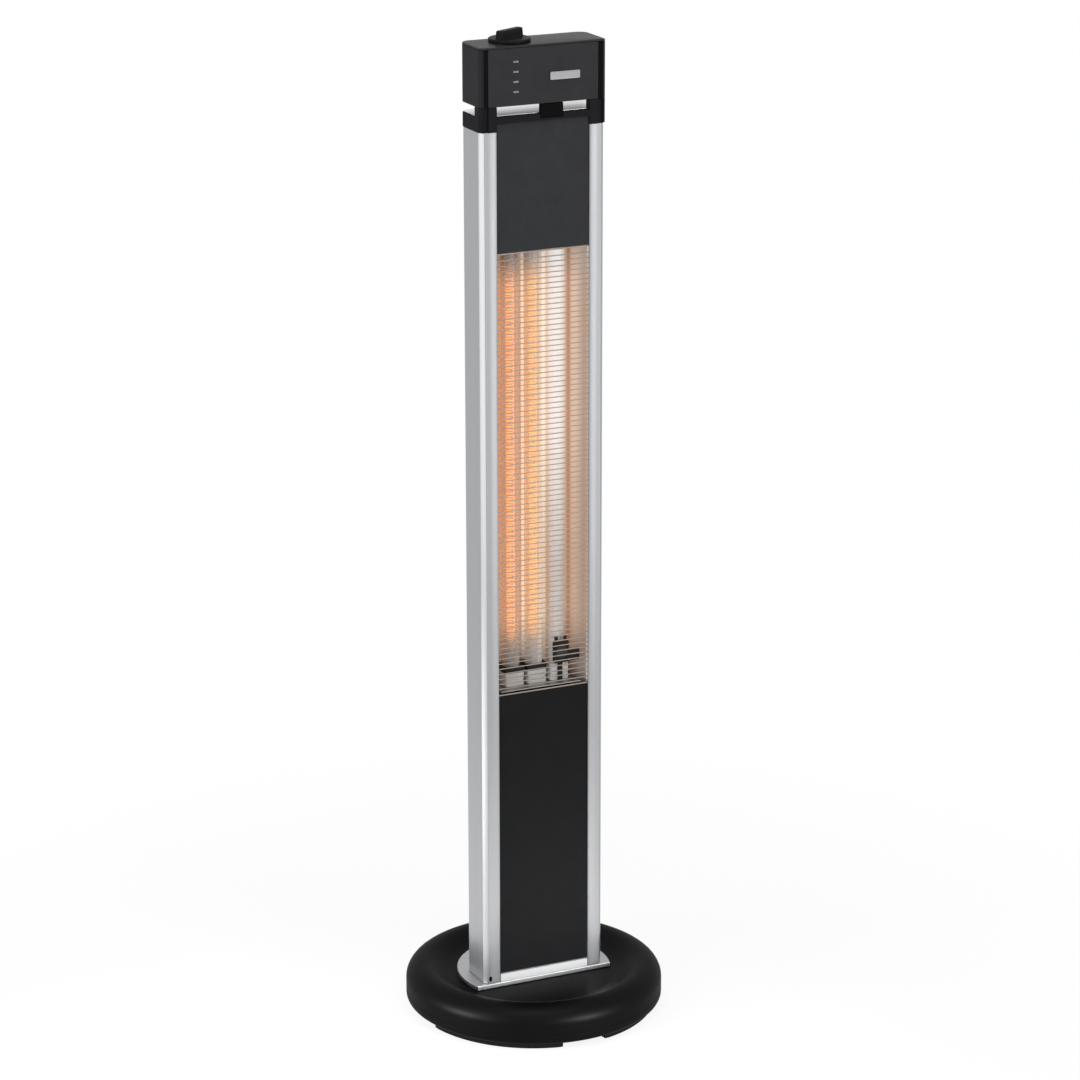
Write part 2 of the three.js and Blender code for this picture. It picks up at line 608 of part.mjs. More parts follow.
function addElements() {
  const tubeLow = LOWER_CAP_FLOOR_Z + SEAT_GAP;
  const tubeHigh = UPPER_CAP_FLOOR_Z - SEAT_GAP;
  const half = CAP_SIZE / 2;
  tubePlaces.forEach((x, i) => {
    const tube = ring(rectangle([TUBE_RADIUS - TUBE_WALL, TUBE_RADIUS], [tubeLow, tubeHigh]), 16);
    add(`quartz_tube_${i + 1}`, tube, quartz()).position.set(x, ELEMENT_Y, 0);

    const lit = i < TUBE_COUNT - 1;
    add(`heating_coil_${i + 1}`, cylinder(COIL_RADIUS, tubeLow, tubeHigh, 10), lit ? litCoil() : coldCoil())
      .position.set(x, ELEMENT_Y, 0);

    const bore = (low, high) => cylinder(TUBE_RADIUS + BORE_GAP, low, high, 16);
    const lower = cut(
      block([-half, half], [-half, half], [LOWER_CAP_Z, LOWER_CAP_Z + CAP_HEIGHT]),
      [bore(LOWER_CAP_FLOOR_Z, UPPER_CAP_Z)]);
    add(`lower_end_cap_${i + 1}`, lower, ceramic()).position.set(x, ELEMENT_Y, 0);
    const upper = cut(
      block([-half, half], [-half, half], [UPPER_CAP_Z, UPPER_CAP_Z + CAP_HEIGHT]),
      [bore(LOWER_CAP_Z, UPPER_CAP_FLOOR_Z)]);
    add(`upper_end_cap_${i + 1}`, upper, ceramic()).position.set(x, ELEMENT_Y, 0);
  });
}

function addReflector() {
  const mouth = REFLECTOR_MOUTH_WIDTH / 2;
  const back = REFLECTOR_BACK_WIDTH / 2;
  const path = [
    [-mouth - REFLECTOR_RETURN, REFLECTOR_FRONT_Y + REFLECTOR_SHEET],
    [-mouth, REFLECTOR_FRONT_Y + REFLECTOR_SHEET],
    [-back, REFLECTOR_BACK_Y + REFLECTOR_SHEET],
    [back, REFLECTOR_BACK_Y + REFLECTOR_SHEET],
    [mouth, REFLECTOR_FRONT_Y + REFLECTOR_SHEET],
    [mouth + REFLECTOR_RETURN, REFLECTOR_FRONT_Y + REFLECTOR_SHEET],
  ];
  const outline = sheetOutline(path, -REFLECTOR_SHEET);
  add('reflector', prism(shapeOf(outline), REFLECTOR_BOTTOM, REFLECTOR_TOP), polishedAluminium());

  // End plates between the reflector's wings carry the ceramic caps.
  const frontY = REFLECTOR_FRONT_Y + BRACKET_FRONT_MARGIN;
  const backY = REFLECTOR_BACK_Y - SEAT_GAP;
  const slope = (mouth - back) / (REFLECTOR_BACK_Y - REFLECTOR_FRONT_Y);
  const innerHalf = (y) => back + slope * (REFLECTOR_BACK_Y - y) - REFLECTOR_SHEET - SEAT_GAP;
  const plate = shapeOf([
    [-innerHalf(frontY), frontY], [innerHalf(frontY), frontY],
    [innerHalf(backY), backY], [-innerHalf(backY), backY],
  ]);
  const lowerTop = LOWER_CAP_Z - SEAT_GAP;
  const upperBottom = UPPER_CAP_Z + CAP_HEIGHT + SEAT_GAP;
  add('lower_bracket', prism(plate, lowerTop - BRACKET_SHEET, lowerTop), steel());
  add('upper_bracket', prism(plate, upperBottom, upperBottom + BRACKET_SHEET), steel());

  // Thermal cut-out: a flat body on a strap that stands on the lower end plate.
  const tubeX = tubePlaces[TUBE_COUNT - 1];
  const backFace = ELEMENT_Y - CAP_SIZE / 2 - SEAT_GAP;
  const body = block(
    [tubeX - CUTOUT_WIDTH / 2, tubeX + CUTOUT_WIDTH / 2], [backFace - CUTOUT_DEPTH, backFace],
    [CUTOUT_BOTTOM, CUTOUT_BOTTOM + CUTOUT_HEIGHT]);
  const strap = block(
    [tubeX - CUTOUT_STEM_WIDTH / 2, tubeX + CUTOUT_STEM_WIDTH / 2],
    [backFace - BRACKET_SHEET, backFace], [LOWER_CAP_Z, CUTOUT_BOTTOM + CUTOUT_HEIGHT / 2]);
  add('thermal_cutout', join([body, strap]), blackPlastic());
}

// ---------------------------------------------------------------- collar and head

function addCollar() {
  const outline = towerOutline(HEAD_HALF_WIDTH, HEAD_FRONT_Y, HEAD_BACK_Y,
    FRONT_CORNER_RADIUS, BACK_CORNER_RADIUS);
  const ringShape = shapeOf(outline);
  const openX = HEAD_HALF_WIDTH - COLLAR_WALL - POST_FRONT_DEPTH;
  const openY = [HEAD_FRONT_Y + COLLAR_WALL + SEAT_GAP, HEAD_BACK_Y - COLLAR_WALL];
  ringShape.holes.push(shapeOf(rectangle([-openX, openX], openY)));
  const body = prism(ringShape, COLLAR_BOTTOM, COLLAR_TOP);

  // The plug reaches down inside the profiles.
  const plugX = openX + POST_FRONT_DEPTH / 2;
  const plugY = [openY[0] - POST_FRONT_DEPTH / 4, openY[1] + POST_FRONT_DEPTH / 4];
  const plugShape = shapeOf(rectangle([-plugX, plugX], plugY));
  plugShape.holes.push(shapeOf(rectangle([-openX, openX], openY)));
  const plug = prism(plugShape, COLUMN_TOP - COLLAR_PLUG_DEPTH, COLLAR_BOTTOM + 1);

  const postTop = HEAD_BOTTOM - SEAT_GAP;
  const postInner = FLANGE_EDGE_X;
  const sideBack = HEAD_FRONT_Y + POST_SIDE_DEPTH;
  const f = FRONT_CORNER_RADIUS;
  const post = [
    [postInner, HEAD_FRONT_Y],
    ...arc(HEAD_HALF_WIDTH - f, HEAD_FRONT_Y + f, f, f, -90, 0, 3),
    [HEAD_HALF_WIDTH, sideBack], [HEAD_HALF_WIDTH - POST_FRONT_DEPTH, sideBack],
    [HEAD_HALF_WIDTH - POST_FRONT_DEPTH, HEAD_FRONT_Y + POST_FRONT_DEPTH],
    [postInner, HEAD_FRONT_Y + POST_FRONT_DEPTH],
  ];
  const posts = [post, mirrored(post)].map((points) => prism(shapeOf(points), COLLAR_TOP - 1, postTop));

  // The upper front panel runs up into the collar, in a slot wider than its window.
  const panelWindow = block(
    [-FLANGE_EDGE_X, FLANGE_EDGE_X], [HEAD_FRONT_Y - 1, PANEL_BACK_Y],
    [COLUMN_TOP - 1, UPPER_PANEL_TOP + SEAT_GAP]);
  const panelSlot = block(
    [-PANEL_HALF_WIDTH - SEAT_GAP, PANEL_HALF_WIDTH + SEAT_GAP],
    [PANEL_FRONT_Y - SEAT_GAP, PANEL_BACK_Y + SEAT_GAP],
    [COLUMN_TOP - 1, UPPER_PANEL_TOP + SEAT_GAP]);
  const windowHalf = WINDOW_BLOCK_WIDTH / 2 + SEAT_GAP;
  const windowNotch = block(
    [WINDOW_BLOCK_X - windowHalf, WINDOW_BLOCK_X + windowHalf],
    [HEAD_FRONT_Y - 1, HEAD_FRONT_Y + WINDOW_BLOCK_DEPTH + SEAT_GAP],
    [COLLAR_TOP - WINDOW_BLOCK_LAP - SEAT_GAP, COLLAR_TOP + 1]);
  // The dark corner grooves of the head run on down the posts.
  const grooves = [-1, 1].map((side) => {
    const x = [side * FASCIA_HALF_WIDTH, side * RECESS_HALF_WIDTH].sort((a, b) => a - b);
    return block(x, [HEAD_FRONT_Y - 1, RECESS_Y], [COLLAR_BOTTOM - 1, HEAD_BOTTOM]);
  });
  const collar = cut(join([body, plug, ...posts]), [panelWindow, panelSlot, windowNotch, ...grooves]);
  add('collar', collar, blackPlastic());

  add('receiver_window', block(
    [WINDOW_BLOCK_X - WINDOW_BLOCK_WIDTH / 2, WINDOW_BLOCK_X + WINDOW_BLOCK_WIDTH / 2],
    [HEAD_FRONT_Y, HEAD_FRONT_Y + WINDOW_BLOCK_DEPTH],
    [COLLAR_TOP - WINDOW_BLOCK_LAP, HEAD_BOTTOM - SEAT_GAP]), glossBlack());
}

// A bright sheet on the collar, between the posts, keeps the column's heat off the head.
function addHeatShield() {
  const frontY = HEAD_FRONT_Y + WINDOW_BLOCK_DEPTH + SEAT_GAP;
  const legY = HEAD_FRONT_Y + POST_FRONT_DEPTH + SEAT_GAP;
  const sideY = HEAD_FRONT_Y + POST_SIDE_DEPTH + SEAT_GAP;
  const legX = FLANGE_EDGE_X - SEAT_GAP;
  const sideX = HEAD_HALF_WIDTH - POST_FRONT_DEPTH - SEAT_GAP;
  const outerX = HEAD_HALF_WIDTH - SHIELD_EDGE_MARGIN;
  const backY = HEAD_BACK_Y - SHIELD_EDGE_MARGIN;
  const r = BACK_CORNER_RADIUS - SHIELD_EDGE_MARGIN;
  const half = [
    [legX, frontY], [legX, legY], [sideX, legY], [sideX, sideY], [outerX, sideY],
    ...arc(outerX - r, backY - r, r, r, 0, 90, 4),
  ];
  const outline = shapeOf([...half, ...mirrored(half).reverse()]);
  outline.holes.push(shapeOf(rectangle(
    [STEM_X - STEM_WIDTH / 2 - SEAT_GAP, STEM_X + STEM_WIDTH / 2 + SEAT_GAP],
    [STEM_Y - STEM_DEPTH / 2 - SEAT_GAP, STEM_Y + STEM_DEPTH / 2 + SEAT_GAP])));
  const bottom = COLLAR_TOP + SEAT_GAP;
  add('heat_shield', prism(outline, bottom, bottom + SHIELD_SHEET), polishedAluminium());
}

// The hollow stem carries the wires over the air gap, on a bridge across the collar.
function addStem() {
  const [x, y] = [STEM_WIDTH / 2, STEM_DEPTH / 2];
  const tower = block([-x, x], [-y, y], [COLLAR_TOP - COLLAR_HEIGHT / 2, HEAD_BOTTOM - SEAT_GAP]);
  const backY = HEAD_BACK_Y - COLLAR_WALL - SEAT_GAP - STEM_Y;
  const frontY = HEAD_FRONT_Y + COLLAR_WALL + 2 * SEAT_GAP - STEM_Y;
  const bridge = block([-x, x], [frontY, backY],
    [COLLAR_TOP - COLLAR_HEIGHT / 2, COLLAR_TOP - COLLAR_HEIGHT / 4]);
  const bore = cylinder(STEM_BORE_RADIUS, COLUMN_TOP, HEAD_TOP, 12);
  add('cable_stem', cut(join([tower, bridge]), [bore]), blackPlastic()).position.set(STEM_X, STEM_Y, 0);
}

function addHead() {
  const outline = (inset) => towerOutline(
    HEAD_HALF_WIDTH - inset, HEAD_FRONT_Y + inset, HEAD_BACK_Y - inset,
    FRONT_CORNER_RADIUS - inset / 2, BACK_CORNER_RADIUS - inset);
  const shell = prism(shapeOf(outline(0)), HEAD_BOTTOM, HEAD_BODY_TOP);
  const hollowFront = RECESS_Y + HEAD_WALL;
  const cavity = shapeOf(towerOutline(HEAD_HALF_WIDTH - HEAD_WALL, hollowFront, HEAD_BACK_Y - HEAD_WALL,
    FRONT_CORNER_RADIUS - HEAD_WALL, BACK_CORNER_RADIUS - HEAD_WALL));
  const hollow = prism(cavity, HEAD_BOTTOM + HEAD_WALL, HEAD_TOP);
  const recess = block([-RECESS_HALF_WIDTH, RECESS_HALF_WIDTH], [HEAD_FRONT_Y - 1, RECESS_Y],
    [HEAD_BOTTOM - 1, HEAD_TOP]);
  const cableHole = cylinder(STEM_BORE_RADIUS, COLLAR_TOP, HEAD_TOP, 12).translate(STEM_X, STEM_Y, 0);
  add('head_body', cut(shell, [hollow, recess, cableHole]), blackPlastic());

  const fasciaShape = shapeOf(rectangle(
    [-FASCIA_HALF_WIDTH, FASCIA_HALF_WIDTH], [HEAD_BOTTOM, HEAD_BODY_TOP]));
  const slot = (z, gap) => shapeOf(rectangle(
    [INDICATOR_X - INDICATOR_WIDTH / 2 - gap, INDICATOR_X + INDICATOR_WIDTH / 2 + gap],
    [z - INDICATOR_HEIGHT / 2 - gap, z + INDICATOR_HEIGHT / 2 + gap]));
  for (let i = 0; i < INDICATOR_COUNT; i += 1) {
    const z = HEAD_BOTTOM + INDICATOR_RISE + i * INDICATOR_PITCH;
    fasciaShape.holes.push(slot(z, BORE_GAP));
    add(`indicator_${i + 1}`, frontPlate(slot(z, 0), HEAD_FRONT_Y, FASCIA_THICKNESS), lens());
  }
  add('head_fascia', frontPlate(fasciaShape, HEAD_FRONT_Y, FASCIA_THICKNESS), blackPlastic());

  const badgeZ = HEAD_BOTTOM + BADGE_RISE;
  const badge = shapeOf(rectangle(
    [BADGE_X - BADGE_WIDTH / 2, BADGE_X + BADGE_WIDTH / 2],
    [badgeZ - BADGE_HEIGHT / 2, badgeZ + BADGE_HEIGHT / 2]));
  add('blank_badge', frontPlate(badge, HEAD_FRONT_Y - BADGE_THICKNESS - SEAT_GAP, BADGE_THICKNESS), steel());

  const boardY = hollowFront + SEAT_GAP;
  const boardBottom = HEAD_BOTTOM + HEAD_WALL + SEAT_GAP;
  add('control_board', block([-BOARD_WIDTH / 2, BOARD_WIDTH / 2], [boardY, boardY + BOARD_THICKNESS],
    [boardBottom, boardBottom + BOARD_HEIGHT]), boardGreen());

  const lid = shapeOf(outline(0));
  const shaftHole = new THREE.Path().absarc(
    KNOB_X, KNOB_Y, KNOB_SHAFT_RADIUS + BORE_GAP, 0, 2 * Math.PI, false);
  lid.holes.push(shaftHole);
  const cover = new THREE.ExtrudeGeometry(lid, {
    depth: HEAD_COVER_THICKNESS - 2 * HEAD_EDGE_BEVEL, curveSegments: 6,
    bevelThickness: HEAD_EDGE_BEVEL, bevelSize: HEAD_EDGE_BEVEL, bevelOffset: -HEAD_EDGE_BEVEL,
    bevelSegments: 2,
  }).translate(0, 0, HEAD_TOP - HEAD_COVER_THICKNESS + HEAD_EDGE_BEVEL);
  add('head_top_cover', cover, blackPlastic());
}

// ---------------------------------------------------------------- controls

function addKnob() {
  const shaftTop = KNOB_BOTTOM + KNOB_GRIP_HEIGHT - KNOB_ROOF;
  const shaftBottom = shaftTop - KNOB_SHAFT_LENGTH;
  const skirt = revolve([
    [0, KNOB_BOTTOM], [KNOB_RADIUS, KNOB_BOTTOM],
    [KNOB_RADIUS, KNOB_BOTTOM + KNOB_SKIRT_HEIGHT / 2],
    [KNOB_RADIUS - KNOB_SKIRT_HEIGHT / 2, KNOB_BOTTOM + KNOB_SKIRT_HEIGHT],
    [0, KNOB_BOTTOM + KNOB_SKIRT_HEIGHT],
  ], 24);
  const reach = KNOB_GRIP_LENGTH / 2;
  const top = KNOB_BOTTOM + KNOB_GRIP_HEIGHT;
  const side = shapeOf([
    [-reach, KNOB_BOTTOM + KNOB_SKIRT_HEIGHT / 2], [reach, KNOB_BOTTOM + KNOB_SKIRT_HEIGHT / 2],
    [reach, top - 1], [reach - 1, top], [1 - reach, top], [-reach, top - 1],
  ]);
  const grip = frontPlate(side, -KNOB_GRIP_WIDTH / 2, KNOB_GRIP_WIDTH);
  const bore = cylinder(KNOB_SHAFT_RADIUS + BORE_GAP, shaftBottom, shaftTop + SEAT_GAP, 12);
  const knob = add('knob', cut(join([skirt, grip]), [bore]), blackPlastic());
  knob.position.set(KNOB_X, KNOB_Y, 0);
  knob.rotation.z = KNOB_REST_ANGLE;
  add('knob_shaft', cylinder(KNOB_SHAFT_RADIUS, shaftBottom, shaftTop, 12), steel())
    .position.set(KNOB_X, KNOB_Y, 0);

  const switchTop = HEAD_BODY_TOP - SEAT_GAP;
  const half = SWITCH_SIZE / 2;
  const body = block([-half, half], [-half, half], [switchTop - SWITCH_HEIGHT, switchTop]);
  const shaftBore = cylinder(KNOB_SHAFT_RADIUS + BORE_GAP, shaftBottom - SEAT_GAP, HEAD_TOP, 12);
  add('rotary_switch', cut(body, [shaftBore]), blackPlastic()).position.set(KNOB_X, KNOB_Y, 0);
}

// ---------------------------------------------------------------- supply

function addSupply() {
  const back = REAR_COVER_INNER_Y - SEAT_GAP;
  add('terminal_block', block(
    [TERMINAL_X - TERMINAL_WIDTH / 2, TERMINAL_X + TERMINAL_WIDTH / 2],
    [back - TERMINAL_DEPTH, back], [TERMINAL_Z, TERMINAL_Z + TERMINAL_HEIGHT]), ceramic());

  const headStart = REAR_COVER_OUTER_Y + SEAT_GAP;
  const gland = ring([
    [GLAND_BORE_RADIUS, REAR_COVER_INNER_Y - GLAND_INNER_LENGTH],
    [GLAND_BODY_RADIUS, REAR_COVER_INNER_Y - GLAND_INNER_LENGTH],
    [GLAND_BODY_RADIUS, headStart], [GLAND_HEAD_RADIUS, headStart],
    [GLAND_HEAD_RADIUS, headStart + GLAND_HEAD_LENGTH / 2],
    [GLAND_BODY_RADIUS, headStart + GLAND_HEAD_LENGTH],
    [GLAND_BORE_RADIUS, headStart + GLAND_HEAD_LENGTH],
  ], 16).rotateX(-Math.PI / 2);
  const mesh = add('cable_gland', gland, blackPlastic());
  mesh.position.set(GLAND_X, 0, GLAND_Z);

  // From the terminal block up beside the reflector and through the stem to the head.
  const terminalTop = TERMINAL_Z + TERMINAL_HEIGHT + SEAT_GAP;
  const terminalY = back - TERMINAL_DEPTH / 2;
  const route = new THREE.CatmullRomCurve3([
    [TERMINAL_X, terminalY, terminalTop],
    [TERMINAL_X, terminalY, terminalTop + 20],
    [LOOM_X, LOOM_Y, terminalTop + 90],
    [LOOM_X, LOOM_Y, terminalTop + 140],
    [LOOM_X, LOOM_Y, REFLECTOR_TOP - 10],
    [LOOM_X, LOOM_Y, REFLECTOR_TOP + 10],
    [STEM_X, STEM_Y, COLUMN_TOP - 10],
    [STEM_X, STEM_Y, COLUMN_TOP + 10],
    [STEM_X, STEM_Y, HEAD_BOTTOM + 20],
  ].map((p) => new THREE.Vector3(...p)), false, 'centripetal');
  const section = new THREE.Shape();
  section.absarc(0, 0, LOOM_RADIUS, 0, 2 * Math.PI, false);
  const loom = new THREE.ExtrudeGeometry(section, { steps: 44, curveSegments: 4, extrudePath: route });
  add('wiring_loom', loom, rubber());
}

addBase();
addTipSwitch();
addFootPlate();
addColumn();
addRearCover();
addGrille();
addElements();
addReflector();
addCollar();
addHeatShield();
addStem();
addHead();
addKnob();
addSupply();

export default heater;
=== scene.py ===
"""Looks of the infrared patio heater tower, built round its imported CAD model.

Shapes are written in millimetres and turned to metres when a mesh is made. Places in
materials and in the studio are in metres. Origin on the floor under the middle of the
base, front towards -Y, +Z up.
"""

import math

import bmesh
import bpy
from mathutils import Matrix, Vector


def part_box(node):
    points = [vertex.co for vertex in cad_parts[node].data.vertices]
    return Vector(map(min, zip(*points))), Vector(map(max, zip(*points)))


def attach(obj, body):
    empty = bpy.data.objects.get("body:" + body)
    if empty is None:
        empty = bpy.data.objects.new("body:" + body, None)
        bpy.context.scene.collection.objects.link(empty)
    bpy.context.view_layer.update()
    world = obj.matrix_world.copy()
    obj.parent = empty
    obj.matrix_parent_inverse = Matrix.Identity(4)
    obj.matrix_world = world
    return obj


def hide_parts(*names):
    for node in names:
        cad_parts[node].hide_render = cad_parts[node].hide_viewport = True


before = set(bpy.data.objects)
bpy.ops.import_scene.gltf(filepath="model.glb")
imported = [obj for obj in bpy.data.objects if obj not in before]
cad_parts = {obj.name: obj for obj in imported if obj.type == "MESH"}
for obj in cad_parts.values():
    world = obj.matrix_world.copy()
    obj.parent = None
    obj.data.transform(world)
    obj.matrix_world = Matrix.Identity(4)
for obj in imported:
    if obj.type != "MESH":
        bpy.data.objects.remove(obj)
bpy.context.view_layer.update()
MM = 0.001
GAP = 0.3  # clearance between neighbouring pieces
CRISP = 0.0001  # edge of a skin that only cuts or joins on
FORWARD = Matrix.Rotation(math.pi / 2, 3, "X")  # turns +Z to the front
BACKWARD = Matrix.Rotation(-math.pi / 2, 3, "X")  # turns +Z to the back

# ---------------- outlines in millimetres


def arc(cx, cy, rx, ry, start, end, steps):
    """Points on an ellipse from one angle to another, in degrees."""
    angles = [math.radians(start + (end - start) * i / steps) for i in range(steps + 1)]
    return [(cx + rx * math.cos(a), cy + ry * math.sin(a)) for a in angles]


def chained(cx, cy, legs, steps=3):
    """Arcs that run on from one another, each leg given as (radius, start, end)."""
    points = []
    for radius, start, end in legs:
        turned = arc(0, 0, radius, radius, start, end, steps)
        if points:
            cx, cy = points[-1][0] - turned[0][0], points[-1][1] - turned[0][1]
        points += [(cx + x, cy + y) for x, y in turned[1 if points else 0:]]
    return points


def circle(radius, count, cx=0.0, cy=0.0):
    return arc(cx, cy, radius, radius, 0, 360 - 360 / count, count - 1)


def quarters(*corners):
    """Quarter circles joined up, each given as (cx, cy, radius, start, steps)."""
    return [point for cx, cy, radius, start, steps in corners
            for point in arc(cx, cy, radius, radius, start, start + 90, steps)]


def rounded(x, y, radius, steps=4):
    """A rectangle between the pairs x and y, with round corners."""
    (x0, x1), (y0, y1), r = x, y, radius
    return quarters((x1 - r, y0 + r, r, -90, steps), (x1 - r, y1 - r, r, 0, steps),
                    (x0 + r, y1 - r, r, 90, steps), (x0 + r, y0 + r, r, 180, steps))


def squircle(half, count, power=9.0):
    """A square with soft corners whose points run with those of a circle."""
    points = []
    for i in range(count):
        c, s = math.cos(2 * math.pi * i / count), math.sin(2 * math.pi * i / count)
        reach = half / (abs(c) ** power + abs(s) ** power) ** (1 / power)
        points.append((reach * c, reach * s))
    return points


def tower_outline(half, front, back, front_radius, back_radius):
    """The head seen from above, with small front and large back corners."""
    f, b = front_radius, back_radius
    return quarters((half - f, front + f, f, -90, 8), (half - b, back - b, b, 0, 12),
                    (b - half, back - b, b, 90, 12), (f - half, front + f, f, 180, 8))


def normals_of(points, closed):
    """The left normals of a path's segments."""
    ends = points[1:] + (points[:1] if closed else [])
    out = []
    for (ax, ay), (bx, by) in zip(points, ends):
        length = math.hypot(bx - ax, by - ay)
        out.append((-(by - ay) / length, (bx - ax) / length))
    return out


def offset(points, distance, closed=False):
    """A path moved to its left by a distance, mitred at its corners."""
    normals = normals_of(points, closed)
    out = []
    for i, (x, y) in enumerate(points):
        a = normals[i - 1] if closed or i else normals[0]
        b = normals[i] if i < len(normals) else normals[-1]
        scale = distance / (1 + a[0] * b[0] + a[1] * b[1])
        out.append((x + (a[0] + b[0]) * scale, y + (a[1] + b[1]) * scale))
    return out


def shrink(outline, distance):
    return offset(outline, distance, closed=True) if distance else list(outline)


def mirrored(points):
    return [(-x, y) for x, y in points]


def level(outline, z):
    """An outline laid at a height."""
    return [(x, y, z) for x, y in outline]


def levels(shape, pairs, count):
    """Circles or squircles laid at heights, one for each pair of a size and a height."""
    return [level(shape(size, count), z) for size, z in pairs]


AXES = {
    "z": lambda u, v, w: (u, v, w),
    "y": lambda u, v, w: (u, w, v),
    "x": lambda u, v, w: (w, u, v),
}

# ---------------- skins: (rings, closed)


def slab(outline, low, high, edge=0.5, axis="z", steps=3):
    """An outline raised from low to high along an axis, with rounded edges."""
    sections = []
    for end, sign in ((low, 1), (high, -1)):
        turned = []
        for i in range(steps + 1):
            angle = math.pi / 2 * i / steps
            inset = edge * (1 - math.sin(angle))
            turned.append((inset, end + sign * edge * (1 - math.cos(angle))))
        sections += turned if sign > 0 else turned[::-1]
    lay = AXES[axis]
    return [[lay(u, v, w) for u, v in shrink(outline, inset)] for inset, w in sections], False


def upright(x, z, corner, y, edge=0.5, steps=3, corner_steps=4):
    """A plate that faces the front; x, z and y are pairs of where it starts and ends."""
    return slab(rounded(x, z, corner, corner_steps), *y, edge, axis="y", steps=steps)


def block(outline, low, high):
    """An outline raised with crisp edges, to cut with or to join on."""
    return slab(outline, low, high, CRISP, steps=1)


def cutter(x, y, z):
    """A plain box to cut with, between the pairs x, y and z."""
    return block([(x[0], y[0]), (x[1], y[0]), (x[1], y[1]), (x[0], y[1])], *z)


def lathe(profile, count, closed=False, cx=0.0, cy=0.0):
    """A profile of (radius, z) points turned about the vertical through cx, cy."""
    return [level(circle(r, count, cx, cy), z) for r, z in profile], closed


def strip(outer, inner, low, high, edge=0.3):
    """A bent sheet between two paths of equal length, raised from low to high."""
    rings = []
    for (ax, ay), (bx, by) in zip(outer, inner):
        length = math.hypot(bx - ax, by - ay)
        ux, uy = (bx - ax) / length * edge, (by - ay) / length * edge
        rings.append([
            (ax, ay, low + edge), (ax, ay, high - edge), (ax + ux, ay + uy, high),
            (bx - ux, by - uy, high), (bx, by, high - edge), (bx, by, low + edge),
            (bx - ux, by - uy, low), (ax + ux, ay + uy, low)])
    return rings, False


def rod(path, radius, sides):
    """A round wire along a path of points."""
    points = [Vector(p) for p in path]
    stands = abs((points[1] - points[0]).normalized().z) >= 0.9
    side = Vector((1, 0, 0)) if stands else Vector((0, 0, 1))
    rings = []
    for i, p in enumerate(points):
        along = (points[min(i + 1, len(points) - 1)] - points[max(i - 1, 0)]).normalized()
        side = (side - along * side.dot(along)).normalized()
        other = along.cross(side)
        ring = []
        for k in range(sides):
            angle = 2 * math.pi * k / sides
            ring.append(tuple(p + (side * math.cos(angle) + other * math.sin(angle)) * radius))
        rings.append(ring)
    return rings, False


def moved(skin, shift, turn=None):
    """A skin turned by a matrix, then shifted."""
    rings, closed = skin
    turn = turn or Matrix.Identity(3)
    return [[tuple(turn @ Vector(p) + Vector(shift)) for p in ring] for ring in rings], closed


def put(name, data):
    """An object in the scene, with a mesh, lamp or camera as its data."""
    made = bpy.data.objects.new(name, data)
    bpy.context.scene.collection.objects.link(made)
    return made


def make(name, *skins):
    """A mesh object with its faces out, from lofted skins in millimetres."""
    verts, faces = [], []
    for rings, closed in skins:
        start, count = len(verts), len(rings[0])
        verts += [Vector(p) * MM for ring in rings for p in ring]
        spans = len(rings) if closed else len(rings) - 1
        for r in range(spans):
            a, b = start + r * count, start + (r + 1) % len(rings) * count
            for i in range(count):
                j = (i + 1) % count
                faces.append((a + i, a + j, b + j, b + i))
        if not closed:
            last = start + (len(rings) - 1) * count
            faces.append(tuple(range(start + count - 1, start - 1, -1)))
            faces.append(tuple(range(last, last + count)))
    mesh = bpy.data.meshes.new(name)
    mesh.from_pydata(verts, [], faces)
    work = bmesh.new()
    work.from_mesh(mesh)
    bmesh.ops.recalc_face_normals(work, faces=work.faces)
    work.to_mesh(mesh)
    work.free()
    return put(name, mesh)


def bake(piece):
    """Replaces a piece's mesh by what its modifiers make of it."""
    graph = bpy.context.evaluated_depsgraph_get()
    mesh = bpy.data.meshes.new_from_object(piece.evaluated_get(graph))
    piece.modifiers.clear()
    piece.data = mesh


def carve(piece, *skins, operation="DIFFERENCE"):
    """Cuts skins out of a piece all at once, or joins them to it."""
    tool = make(f"{piece.name}_tool", *skins)
    step = piece.modifiers.new("carve", "BOOLEAN")
    step.operation, step.solver, step.object = operation, "EXACT", tool
    bake(piece)
    bpy.data.objects.remove(tool)


def combine(piece, *skins, operation="DIFFERENCE"):
    """Cuts skins out of a piece one by one, or joins them to it."""
    for skin in skins:
        carve(piece, skin, operation=operation)


# ---------------- materials

FLECKS = (0.62, 0.7)  # values of the noise that make a fleck
WORN = (0.52, 0.62)  # pointiness from a flat face to a worn edge
RIM = (0.15, 0.55)  # how far a glass faces away where its rim starts and is full
STRIPE_EDGE = 0.0006


def node(tree, kind, **settings):
    """A node with its properties and inputs set; an underscore stands for a space."""
    made = tree.nodes.new(kind)
    for key, value in settings.items():
        if hasattr(made, key):
            setattr(made, key, value)
        else:
            made.inputs[key.replace("_", " ")].default_value = value
    return made


def plug(tree, sockets, *values):
    """Sets sockets to values, each of them a socket to link, a number or a colour."""
    for socket, value in zip(sockets, values):
        if isinstance(value, bpy.types.NodeSocket):
            tree.links.new(value, socket)
        else:
            socket.default_value = (*value, 1) if isinstance(value, tuple) else value


def noise(tree, coords, scale, detail=3.0, stretch=(1, 1, 1)):
    """A noise in the piece's own coordinates, in metres, drawn out along an axis."""
    lay = node(tree, "ShaderNodeMapping", Scale=stretch)
    tree.links.new(coords, lay.inputs["Vector"])
    made = node(tree, "ShaderNodeTexNoise", Scale=scale, Detail=detail, Roughness=0.6)
    tree.links.new(lay.outputs[0], made.inputs["Vector"])
    return made.outputs["Fac"]


